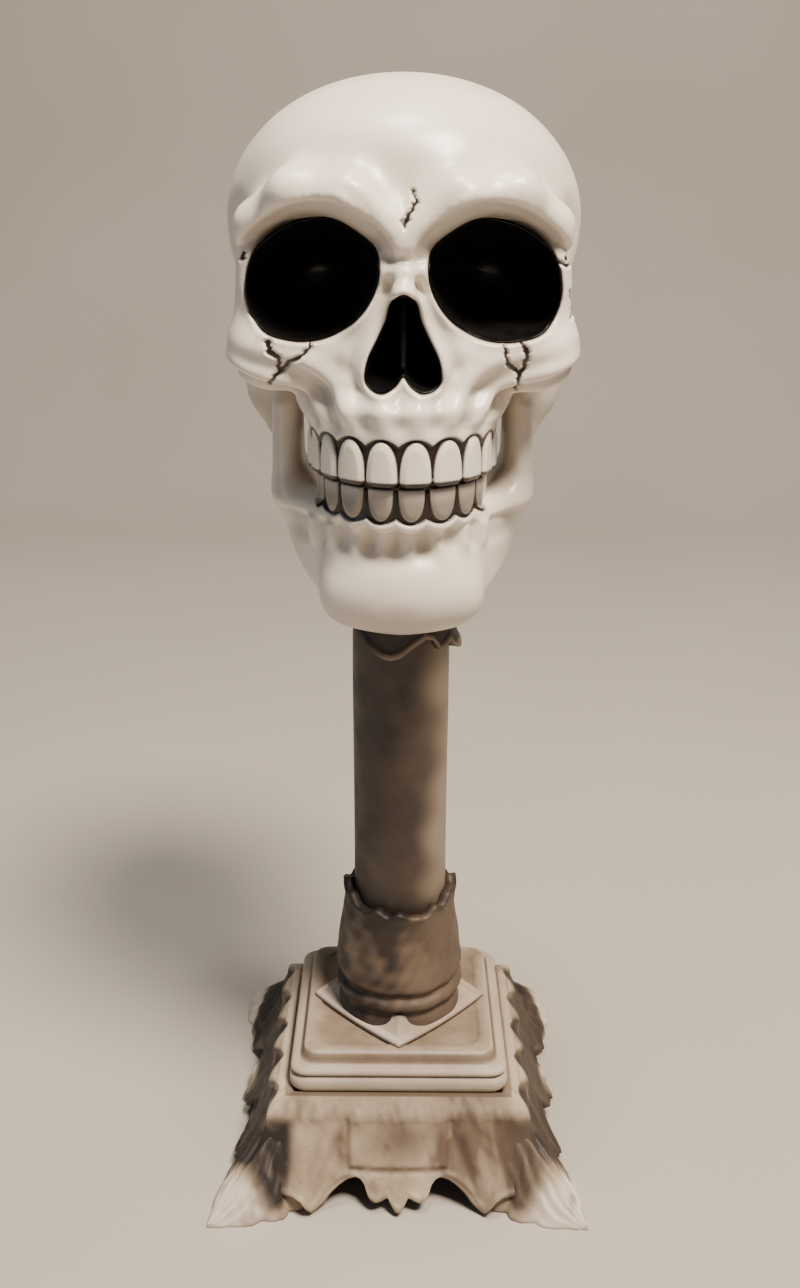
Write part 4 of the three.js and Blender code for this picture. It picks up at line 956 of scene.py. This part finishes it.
def tier_piece():
    u, l, top = UPPER_HALF, LOWER_HALF, TIER_TOP
    profile = [(ROD_HOLE, -0.8), (u - 7, -0.8), (u - 6.2, -0.7), (u - 5.6, -0.1), (u - 5.0, 0), (u - 1.2, 0),
               (u - 0.4, -0.3), (u, -0.9), (u + 0.1, -1.6), (u + 0.7, -3.2), (u + 1.3, -4.5), (u + 1.6, -5.0),
               (u + 2.2, -5.2), (l - 2.2, -5.4), (l - 1.0, -6.0), (l - 0.5, -6.9), (l - 0.6, -7.8),
               (l - 1.2, -8.5), (l - 1.9, -8.8), (l - 1.9, -9.2), (l - 1.1, -9.6), (l - 0.3, -10.5),
               (l, -11.8), (l, -13.8), (l - 0.3, -15.2), (l - 1.0, -16.2), (l - 2.4, -16.8), (30, -17),
               (30, -6), (ROD_HOLE, -6)]
    rings = []
    for half, drop in profile:
        corner = min(TIER_ROUND, half) if half > ROD_HOLE else half * 0.999
        flat = rounded_square(half, corner)
        rings.append(column_stack([flat, full(len(flat), top + drop)]))
    return ring_shell(rings[::-1])


# Waved hem: distance from the middle of a side, and height
HEM_LINE = [(0, 0), (1.2, 0.4), (3, 2.6), (4.6, 5.2), (6.5, 4.2), (9.5, 3.2), (12, 4.2), (13.6, 6),
            (15.2, 9.2), (17.5, 11.4), (20, 12.2), (24, 11.2), (28, 8.8), (31, 6.2), (33.5, 2.6),
            (36.5, 0), (39, 1.2), (42, 3.6), (47, 5.4), (60, 6), (80, 6)]


def hem_height(x):
    return HEM_LOW + interp(abs(x), *zip(*HEM_LINE))


LOBE_PITCH = 22.0


def lobe_edge(x):
    """Half width where the shoulder of a side ends in lobes, which take a painted highlight."""
    return 53.5 - 2.5 * cos(2 * math.pi * x / LOBE_PITCH)


def apron_relief(x, z, half, frill):
    low = 17.5 + 0.002 * x * x
    edge = minimum(20.5 - abs(x) + 0.02 * (z - 20), z - low)
    push = (1 - frill) * 1.4 * rise(edge, -0.7, 0.9) * fall(z, 36, 42)
    push -= (1 - frill) * 0.7 * bump(edge, -1.6, 1.0) * fall(z, 34, 40)
    drop = SHOULDER_LOW - z
    ridge = abs(x) - 27 - 0.42 * drop
    push += (1 - frill) * (1.8 * bump(ridge, 0, 3.6) - 1.0 * bump(ridge, -6, 2.8)) * rise(drop, -6, 6)
    push += 1.5 * bump(abs(x) - 40 - 0.1 * drop, 0, 3.4) * rise(drop, -3, 8)
    push += 0.9 * bump(z - hem_height(x), 1.3, 1.1)
    push += frill * 1.9 * fall(half - lobe_edge(x), -0.7, 1.1)
    push += (1 - frill) * 0.5 * cos(2 * math.pi * x / 17) * bump(z, 36, 4)
    lumps = sin(0.55 * x + 1.0) + sin(0.93 * x + 2.1) + sin(1.47 * x + 0.3 * z)
    push += (1 - frill) * 0.2 * lumps * sin(0.4 * z + 0.2 * x) * bump(z, 38, 3)
    return push


def apron_profile(t):
    """Half width, height and outward slope of the apron; t 0 to 1 is the shoulder, 1 to 2 the flare."""
    a = minimum(t, 1) * math.pi / 2
    f = maximum(t - 1, 0)
    top = LOWER_HALF - 1
    half = top + (SHOULDER_HALF - top) * sin(a) + (APRON_HALF - SHOULDER_HALF) * f ** FLARE
    z = SHOULDER_LOW + SHOULDER_DROP * cos(a) - (SHOULDER_LOW - HEM_LOW) * f
    run = FLARE * (APRON_HALF - SHOULDER_HALF) * f ** (FLARE - 1) / (SHOULDER_LOW - HEM_LOW)
    out = where(t < 1, sin(a), 1 / hypot(1, run))
    up = where(t < 1, cos(a), run / hypot(1, run))
    return half, z, out, up


def four_sides(even, odd):
    return concatenate([turned((even, odd)[k % 2], k * math.pi / 2) for k in range(4)])


def apron_piece():
    count = 132
    outer, inner = [], []
    share = linspace(-1, 1, count, endpoint=False)
    near = fall(abs(share), 0.84, 1.0)
    reach = (SHOULDER_LOW - hem_height(share * APRON_HALF)) / (SHOULDER_LOW - HEM_LOW)
    steps = concatenate([linspace(0, 1, 22), linspace(1, 2, 44)[1:]])
    for step in steps:
        half, z, out, up = apron_profile(where(step > 1, 1 + (step - 1) * reach, step))
        fronts = []
        for frill in (0, 1):
            relief = apron_relief(share * half, z, half, frill) * near * rise(step, 0.02, 0.35)
            fronts.append(column_stack([share * half, -half - relief * out, z + relief * up]))
        deep = half - APRON_WALL
        back = column_stack([share * deep, -deep, z - APRON_WALL * up])
        outer.append(four_sides(*fronts))
        inner.append(four_sides(back, back))
    return ring_shell(outer[::-1] + inner)


LEAF_LENGTH, LEAF_HALF, LEAF_HEIGHT = 36.0, 18.0, 28.5


def leaf_piece():
    stations, across = 60, 51
    root = BASE_HALF * math.sqrt(2) - LEAF_LENGTH
    t = linspace(0, 1, stations)[:, None]
    u = linspace(-1, 1, across)[None, :]
    s = abs(u)
    lobes = 1 + 0.07 * cos(2 * math.pi * 3 * t) + 0.05 * abs(sin(math.pi * 6 * t))
    half = LEAF_HALF * lobes * (1.03 - maximum(0, (t - 0.1) / 0.9) ** 1.6)
    ridge = LEAF_HEIGHT * (1.045 - t ** 1.15)
    crown = 1 + ridge * (1 - s ** 1.7)
    fade = fall(t, 0.7, 0.95) * (1 - s ** 6)
    crown = crown + 0.9 * fade * cos(2 * math.pi * (s * 1.6 - t * 1.3) * 2.2) * rise(s, 0.12, 0.4)
    crown = crown + fade * (1.0 * bump(s, 0.14, 0.09) - 1.1 * bump(s, 0.0, 0.05))
    crown = maximum(crown, 0.5)
    along = root + LEAF_LENGTH * t + 0 * u
    front = stack([along, half * u, crown], -1)
    back = stack([along, half * u, 0 * crown], -1)
    c = math.sqrt(0.5)
    inside = maximum(abs(along - half * u), abs(along + half * u)) * c < APRON_HALF - APRON_WALL + 1
    back[..., 2] = where(inside, maximum(crown - 0.6, 0), 0)
    points, faces = slab(front, back)
    points = turned(points, -math.pi / 4)
    points[:, :2] = np.clip(points[:, :2], -BASE_HALF, BASE_HALF)
    return points, faces


def base_paint(p):
    x, y, z = p.T
    a, b = abs(x), abs(y)
    rough = waves(p, 11, low=0.03, high=0.3)
    half, reach = maximum(a, b), hypot(a, b)
    skirt, left = z < APRON_TOP, x < 0
    side, facing = rise(a - b, -4, 6), rise(b - a, -2, 8) * skirt
    body = fall(reach, 88, 95)
    outer = a - lobe_edge(y) - 0.8 + 0.5 * rough
    tip = bump(y, 14, 13) * fall(z, 9, 14)
    waist = side * rise(z, 1, 4) * rise(outer, -1.2, 1.2) * body * skirt * (1 - tip)
    inner = where(left, 42, 36)
    foot = rise(a, inner, inner + 6) * fall(a, inner + 23, inner + 31) * rise(b, 50, 56)
    foot = foot * rise(z, 2.5, 7) * fall(z, 33, 39) * body * rise(a + 0.25 * z, 47, 51)
    # Dark paint in the concave side waists and at the feet, made stronger on the left as painted shade.
    dark_paint_and_shade = where(left, waist + foot, 0.72 * waist + 0.4 * foot) * clamp01(1.05 + 0.35 * rough)
    spot = lambda at, wide, level, tall: bump(x, at, wide) * bump(z, level, tall) * facing
    # Brown over the dark areas, stronger on the right, so that they read brown on the right and near-black on
    # the left: painted shade.
    shade = (waist + foot) * where(left, 0.3, 0.9)
    # Brown patches, streaks and random mottling on the front and back faces: the base's own paint.
    shade += 0.9 * spot(18.4, 2.8, 26, 8) + 1.0 * spot(30, 3.6, 29, 8) + 0.7 * spot(-24.6, 3.0, 26, 8)
    shade += 0.35 * facing * rise(x, 10, 26) * fall(x, 44, 56)
    shade += 0.9 * spot(1.5, 12, 29, 9) + 0.4 * spot(39, 5, 29, 9) + 0.5 * rise(rough, 0.0, 0.9) * skirt
    # Painted shade: a line under the raised panel, the top of the skirt under the tier, the recess under the
    # upper tier's edge, the groove between the beads, the line under the lower tier, and the hidden inside of
    # the apron.
    shade += facing * (0.4 * bump(z, 17.0, 1.0) * (a < 21) + 0.25 * rise(z, 34, 40))
    shade += 0.8 * bump(z, TIER_TOP - 3.0, 1.9) * (half < UPPER_HALF + 2)
    shade += 0.45 * bump(z, TIER_TOP - 9.0, 0.5) * (half < LOWER_HALF)
    shade += 0.7 * bump(z, TIER_TOP - 16.6, 0.9) * (half < LOWER_HALF + 1.5)
    shade += 0.3 * (skirt & (half < 44))
    # Lighter at the foot tips, the leaf tips and the lower tier; a painted highlight on the side lobes and
    # along the upper tier's top edge.
    pale_paint_and_highlight = rise(reach, 88, 97) * fall(z, 12, 20) + 0.55 * side * fall(outer, -2.4, -0.6) * skirt
    pale_paint_and_highlight += side * tip + 0.45 * (z > APRON_TOP + 0.5) * (z < TIER_TOP - 4.8)
    pale_paint_and_highlight += 0.6 * bump(z, TIER_TOP - 0.4, 0.5) * (half > UPPER_HALF - 1.5)
    return {"dark_paint_and_shade": clamp01(dark_paint_and_shade), "shade": clamp01(shade), "pale_paint_and_highlight": clamp01(pale_paint_and_highlight)}


def build_base():
    leaf, leaf_faces = leaf_piece()
    parts = [tier_piece(), apron_piece()]
    parts += [(turned(leaf, k * math.pi / 2), leaf_faces) for k in range(4)]
    points, faces = merge(parts)
    add_piece("ornate_base", points, faces, "stone", "base_shell", base_paint(points))


# Column, torn sockets and star foot
SLEEVE = COLUMN_RADIUS + 2.7
BORE = COLUMN_RADIUS + 0.3
AROUND = linspace(0, 2 * math.pi, 168, endpoint=False)
JAG = 0.6 * sin(5 * AROUND + 1.0) + 0.5 * sin(11 * AROUND + 2.2) + 0.4 * sin(17 * AROUND + 0.4)
# Socket outline from foot to rim: how far it stands out from the sleeve, and share of the height
MOULDING = [(5, 0), (5.2, 0.05), (4.4, 0.1), (3.4, 0.13), (3.4, 0.17), (5.0, 0.18), (5.8, 0.21), (5.6, 0.25),
            (3.4, 0.28), (3.2, 0.31), (4.6, 0.33), (5.4, 0.37), (5.3, 0.42), (4.7, 0.47), (3.8, 0.55),
            (2.8, 0.66), (1.8, 0.76), (1.1, 0.87), (1.5, 0.94), (2.4, 1)]


def polar(radius, z):
    radius = radius + 0 * AROUND
    return column_stack([radius * cos(AROUND), radius * sin(AROUND), z + 0 * AROUND])


def socket_piece():
    low, high = SOCKET_LOW[2], SOCKET_HIGH[2]
    shares = linspace(0, 1, 70)
    proud = interp(shares, [m[1] for m in MOULDING], [m[0] for m in MOULDING])
    proud = np.convolve(np.pad(proud, 1, mode="edge"), [0.2, 0.6, 0.2], mode="valid")
    tear = 2.2 + 1.7 * JAG + 5.5 * maximum(abs(sin(AROUND)) - 0.25, 0) ** 0.7
    rim = high - np.clip(tear, 0.2, 9)
    rings = []
    for share, out in zip(shares, proud):
        z = low + (rim - low) * share
        amount = rise(share, 0.40, 0.55) * (1 - 0.5 * rise(share, 0.93, 1.0))
        crumple = waves(polar(SLEEVE + out, z) * [1, 1, 0.7], 21, low=0.03, high=0.12)
        fold = sin(AROUND * 3 + z * 0.22) * 0.6
        rings.append(polar(SLEEVE + out + amount * (1.3 * abs(crumple) - 0.4 + 0.5 * fold), z))
    seat = low + 5
    rings += [polar(BORE, rim), polar(BORE, (rim + low) / 2), polar(BORE, seat), polar(ROD_HOLE, seat)]
    return ring_shell(rings + [polar(ROD_HOLE, low)])


# Star foot from its edge to the sleeve: share of its plan, and height
STAR_STEPS = [(1.0, 0.0), (1.0, 1.2), (0.988, 1.9), (0.965, 2.3), (0.94, 2.0), (0.915, 2.0), (0.87, 2.8),
              (0.82, 4.0), (0.77, 5.8), (0.72, 8.2), (0.6, 8.6), (0.6, 0.0)]


def star_piece():
    low, tip = SOCKET_LOW[2], SOCKET_HIGH[0]
    foot = SLEEVE + MOULDING[0][0]
    bend = 2 * foot * math.sqrt(0.5) - tip / 2 + 1.5
    t = linspace(0, 1, 36, endpoint=False)[:, None]
    point = [array([math.cos(a), math.sin(a)]) for a in arange(5) * math.pi / 2]
    line = concatenate([(1 - t) ** 2 * a * tip + 2 * t * (1 - t) * (a + b) * bend + t ** 2 * b * tip
                           for a, b in zip(point, point[1:])])
    flat = lambda share, z: column_stack([line * share, full(len(line), low + z)])
    return ring_shell([flat(*step) for step in STAR_STEPS])


def socket_paint(p):
    x, y, z = p.T
    rough = waves(p, 31, low=0.02, high=0.2)
    low = SOCKET_LOW[2]
    left = fall(x, -4, 14)
    rim = rise(z, SOCKET_HIGH[2] - 9, SOCKET_HIGH[2] - 4)
    # Painted shade: darker on the left, towards the torn rim and in the grooves between the rings, with
    # random patches; the brown layer over the whole socket is its own colour.
    dark_paint_and_shade = (0.24 + 0.68 * left) * clamp01(0.85 + 0.9 * rough) + 0.55 * rim
    dark_paint_and_shade += 0.5 * (bump(z, low + 9.3, 1.0) + bump(z, low + 18.4, 1.1))
    # Painted highlight: light flecks only on the right-hand side.
    pale_paint_and_highlight = 0.5 * rise(rough, 0.5, 1.2) * (1 - left)
    return {"dark_paint_and_shade": clamp01(dark_paint_and_shade), "shade": full(len(p), 0.9), "pale_paint_and_highlight": pale_paint_and_highlight}


def star_paint(p):
    x, y, z = p.T
    low = SOCKET_LOW[2]
    left = fall(x, -4, 10)
    lip = rise(z, low + 1.3, low + 1.9) * fall(z, low + 2.3, low + 3.0)
    edge = fall(z, low + 0.3, low + 1.2)
    # Painted shade along the bottom edge, stronger on the left, and where the points rise into the socket; a
    # painted highlight along the rim, stronger on the left, over a lighter tone on the whole star.
    shade = 0.4 * edge + 0.5 * rise(z, low + 6, low + 8.4)
    return {"dark_paint_and_shade": 0.5 * edge * left, "shade": shade, "pale_paint_and_highlight": (0.35 + 0.65 * left) * maximum(lip, 0.4)}


def tube_paint(p):
    x, y, z = p.T
    # Painted highlight on the right-hand side and painted shade on the left, with uneven edges.
    side = rise(x / COLUMN_RADIUS + 0.3 * waves(p, 41, low=0.008, high=0.05), 0.2, 1.0)
    dark_paint_and_shade = 0.55 * rise(-x / COLUMN_RADIUS + 0.5 * waves(p, 43, low=0.008, high=0.06), 0.1, 1.2)
    return {"pale_paint_and_highlight": 0.68 * side, "dark_paint_and_shade": clamp01(dark_paint_and_shade)}


# Torn rim of the upper sleeve: degrees round from the front, and height above its lowest point
NECK_RIM = [(-180, 7.4), (-150, 2.4), (-120, 10.4), (-90, 12.4), (-58, 11.9), (-44, 9.4), (-31, 4.4),
            (-19, 1.4), (-10, 0.4), (0, 2.4), (12, 5.9), (24, 9.0), (34, 7.8), (43, 3.2), (50, 3.8),
            (58, 6.4), (66, 2.4), (76, 0.8), (92, 1.4), (120, 5.4), (150, 2.4), (180, 7.4)]
NECK_PLATE = 4.0


def rim_height(turn):
    return NECK_LOW[2] + interp(turn, *zip(*NECK_RIM))


def neck_piece():
    top = NECK_HIGH[2] - NECK_PLATE
    turn = (np.degrees(AROUND) - 270 + 180) % 360 - 180
    rim = maximum(rim_height(turn) + 0.35 * JAG, NECK_LOW[2])
    rings = [polar(BORE, rim)]
    for share in linspace(0, 1, 60):
        z = rim + (top - rim) * share
        lip = (1.3 + 0.9 * rise(turn, 55, 75) * fall(turn, 95, 120)) * bump(z, rim, 2.0)
        flare = 3 * rise(z, top - 10, top)
        crumple = waves(polar(SLEEVE, z) * [1, 1, 0.6], 51, low=0.03, high=0.12)
        rings.append(polar(SLEEVE + lip + flare + 0.5 * abs(crumple), z))
    sleeve = ring_shell(rings + [polar(BORE, top)])
    middle, half = (NECK_HIGH + NECK_LOW) / 2, (NECK_HIGH - NECK_LOW) / 2
    round_edge = lambda inset, z: polar(1.0, 0) * [*(half[:2] - inset), 0] + [*middle[:2], z]
    hub, end = BORE - 2, top + NECK_PLATE
    plate = ring_shell([polar(hub, top), round_edge(0.6, top), round_edge(0, top + 0.6),
                        round_edge(0, end - 0.6), round_edge(0.6, end), polar(hub, end)])
    seat, snug = COLUMN_HIGH[2] + SEAM_GAP, BORE - 0.05
    corners = ((ROD_HOLE, 0), (snug, 0), (snug, NECK_PLATE), (ROD_HOLE, NECK_PLATE))
    floor = ring_shell([polar(radius, seat + up) for radius, up in corners])
    return merge([sleeve, plate, floor])


def neck_paint(p):
    x, y, z = p.T
    rough = waves(p, 61, low=0.02, high=0.2)
    turn = (np.degrees(np.arctan2(y, x)) + 90 + 180) % 360 - 180
    over = z - rim_height(turn)
    lip = fall(over, 1.5, 3.0) * rise(hypot(x, y), SLEEVE - 0.5, SLEEVE + 0.6)
    # Painted highlight on the right half of the torn lip and light flecks on the right; the dark layer is the
    # sleeve's own darker colour plus painted shade on the left, a darker band just above the torn rim and
    # random dark patches.
    pale_paint_and_highlight = clamp01(0.6 * lip * rise(x, -14, -4) + 0.2 * rise(rough, 0.2, 1.0) * rise(x, 0, 15))
    dark_paint_and_shade = 0.45 + 0.5 * rise(-x, -8, 14) + 0.4 * bump(over, 5, 3) + 0.3 * rise(-rough, 0.2, 1.0)
    return {"pale_paint_and_highlight": pale_paint_and_highlight, "dark_paint_and_shade": clamp01(dark_paint_and_shade) * (1 - lip)}


COLUMN_WALL = 2.5


def build_column():
    heights = linspace(COLUMN_LOW[2], COLUMN_HIGH[2], 90)
    uneven = lambda z: 0.18 * waves(polar(COLUMN_RADIUS, z), 71, low=0.008, high=0.04)
    rings = [polar(COLUMN_RADIUS - 0.05 + uneven(z), z) for z in heights]
    points, faces = ring_shell(rings + [polar(COLUMN_RADIUS - COLUMN_WALL, z) for z in heights[::-1]])
    add_piece("column", points, faces, "smoke", "column_tube", tube_paint(points))
    socket, star = socket_piece(), star_piece()
    points, faces = merge([socket, star])
    on_socket, on_star = socket_paint(socket[0]), star_paint(star[0])
    paint = {key: concatenate([on_socket[key], on_star[key]]) for key in on_socket}
    add_piece("lower_socket", points, faces, "stone", "column_socket", paint)
    points, faces = neck_piece()
    add_piece("upper_socket", points, faces, "smoke", "neck_socket", neck_paint(points))


# Camera, light and floor
PHOTO_WIDE, PHOTO_HIGH = 800, 1288
FOCAL_PIXELS = 1263.0
CAMERA_PLACE = Vector((-0.0005, -0.493, 0.404))
CAMERA_PITCH = math.radians(19.43)
CAMERA_ROLL = math.radians(0.35)
SENSOR = 36.0


def build_camera():
    data = bpy.data.cameras.new("camera")
    data.sensor_fit = "AUTO"
    data.sensor_width = SENSOR
    data.lens = FOCAL_PIXELS / PHOTO_HIGH * SENSOR
    camera = bpy.data.objects.new("camera", data)
    turn = Matrix.Rotation(math.pi / 2 - CAMERA_PITCH, 4, "X") @ Matrix.Rotation(CAMERA_ROLL, 4, "Z")
    camera.matrix_world = Matrix.Translation(CAMERA_PLACE) @ turn
    bpy.context.scene.collection.objects.link(camera)
    bpy.context.scene.camera = camera


LIGHT_TARGET = Vector((0, 0, 0.3))


def add_light(name, place, size, power, colour):
    data = bpy.data.lights.new(name, "AREA")
    data.shape = "DISK"
    data.size = size
    data.energy = power
    data.color = colour
    lamp = bpy.data.objects.new(name, data)
    lamp.location = place
    lamp.rotation_euler = (LIGHT_TARGET - Vector(place)).to_track_quat("-Z", "Y").to_euler()
    bpy.context.scene.collection.objects.link(lamp)


def build_stage():
    mesh = bpy.data.meshes.new("floor")
    wide, back, tall, turn = 3.0, 1.6, 2.6, 0.5
    start = back - turn
    bend = linspace(0, math.pi / 2, 12)
    curve = zip(start + turn * sin(bend), turn - turn * cos(bend))
    rows = [(-2.5, 0.0), (start, 0.0), *curve, (back, tall)]
    points = [(x, y, z) for y, z in rows for x in (-wide, wide)]
    faces = [(2 * k, 2 * k + 1, 2 * k + 3, 2 * k + 2) for k in range(len(rows) - 1)]
    mesh.from_pydata(points, [], faces)
    mesh.shade_smooth()
    floor = bpy.data.objects.new("floor", mesh)
    bpy.context.scene.collection.objects.link(floor)
    tones = [(0.3, (0.41, 0.375, 0.335)), (0.7, (0.44, 0.405, 0.365))]
    mesh.materials.append(painted("floor_paper", (3, 2), tones, settings=[("Roughness", 0.9)]))
    world = bpy.data.worlds.new("studio")
    bpy.context.scene.world = world
    world.use_nodes = True
    sky = world.node_tree.nodes["Background"].inputs
    sky["Color"].default_value = (0.70, 0.80, 1.0, 1)
    sky["Strength"].default_value = 0.07
    add_light("key", (0.52, -0.68, 1.75), 0.5, 70, (1.0, 0.85, 0.70))
    add_light("top", (0.0, -0.12, 1.9), 0.4, 24, (1.0, 0.91, 0.79))
    add_light("fill", (-1.4, -0.35, 0.5), 0.9, 1.9, (0.50, 0.72, 1.0))


build_camera()
build_stage()
dress_frame()
build_skull()
build_bowls()
build_base()
build_column()
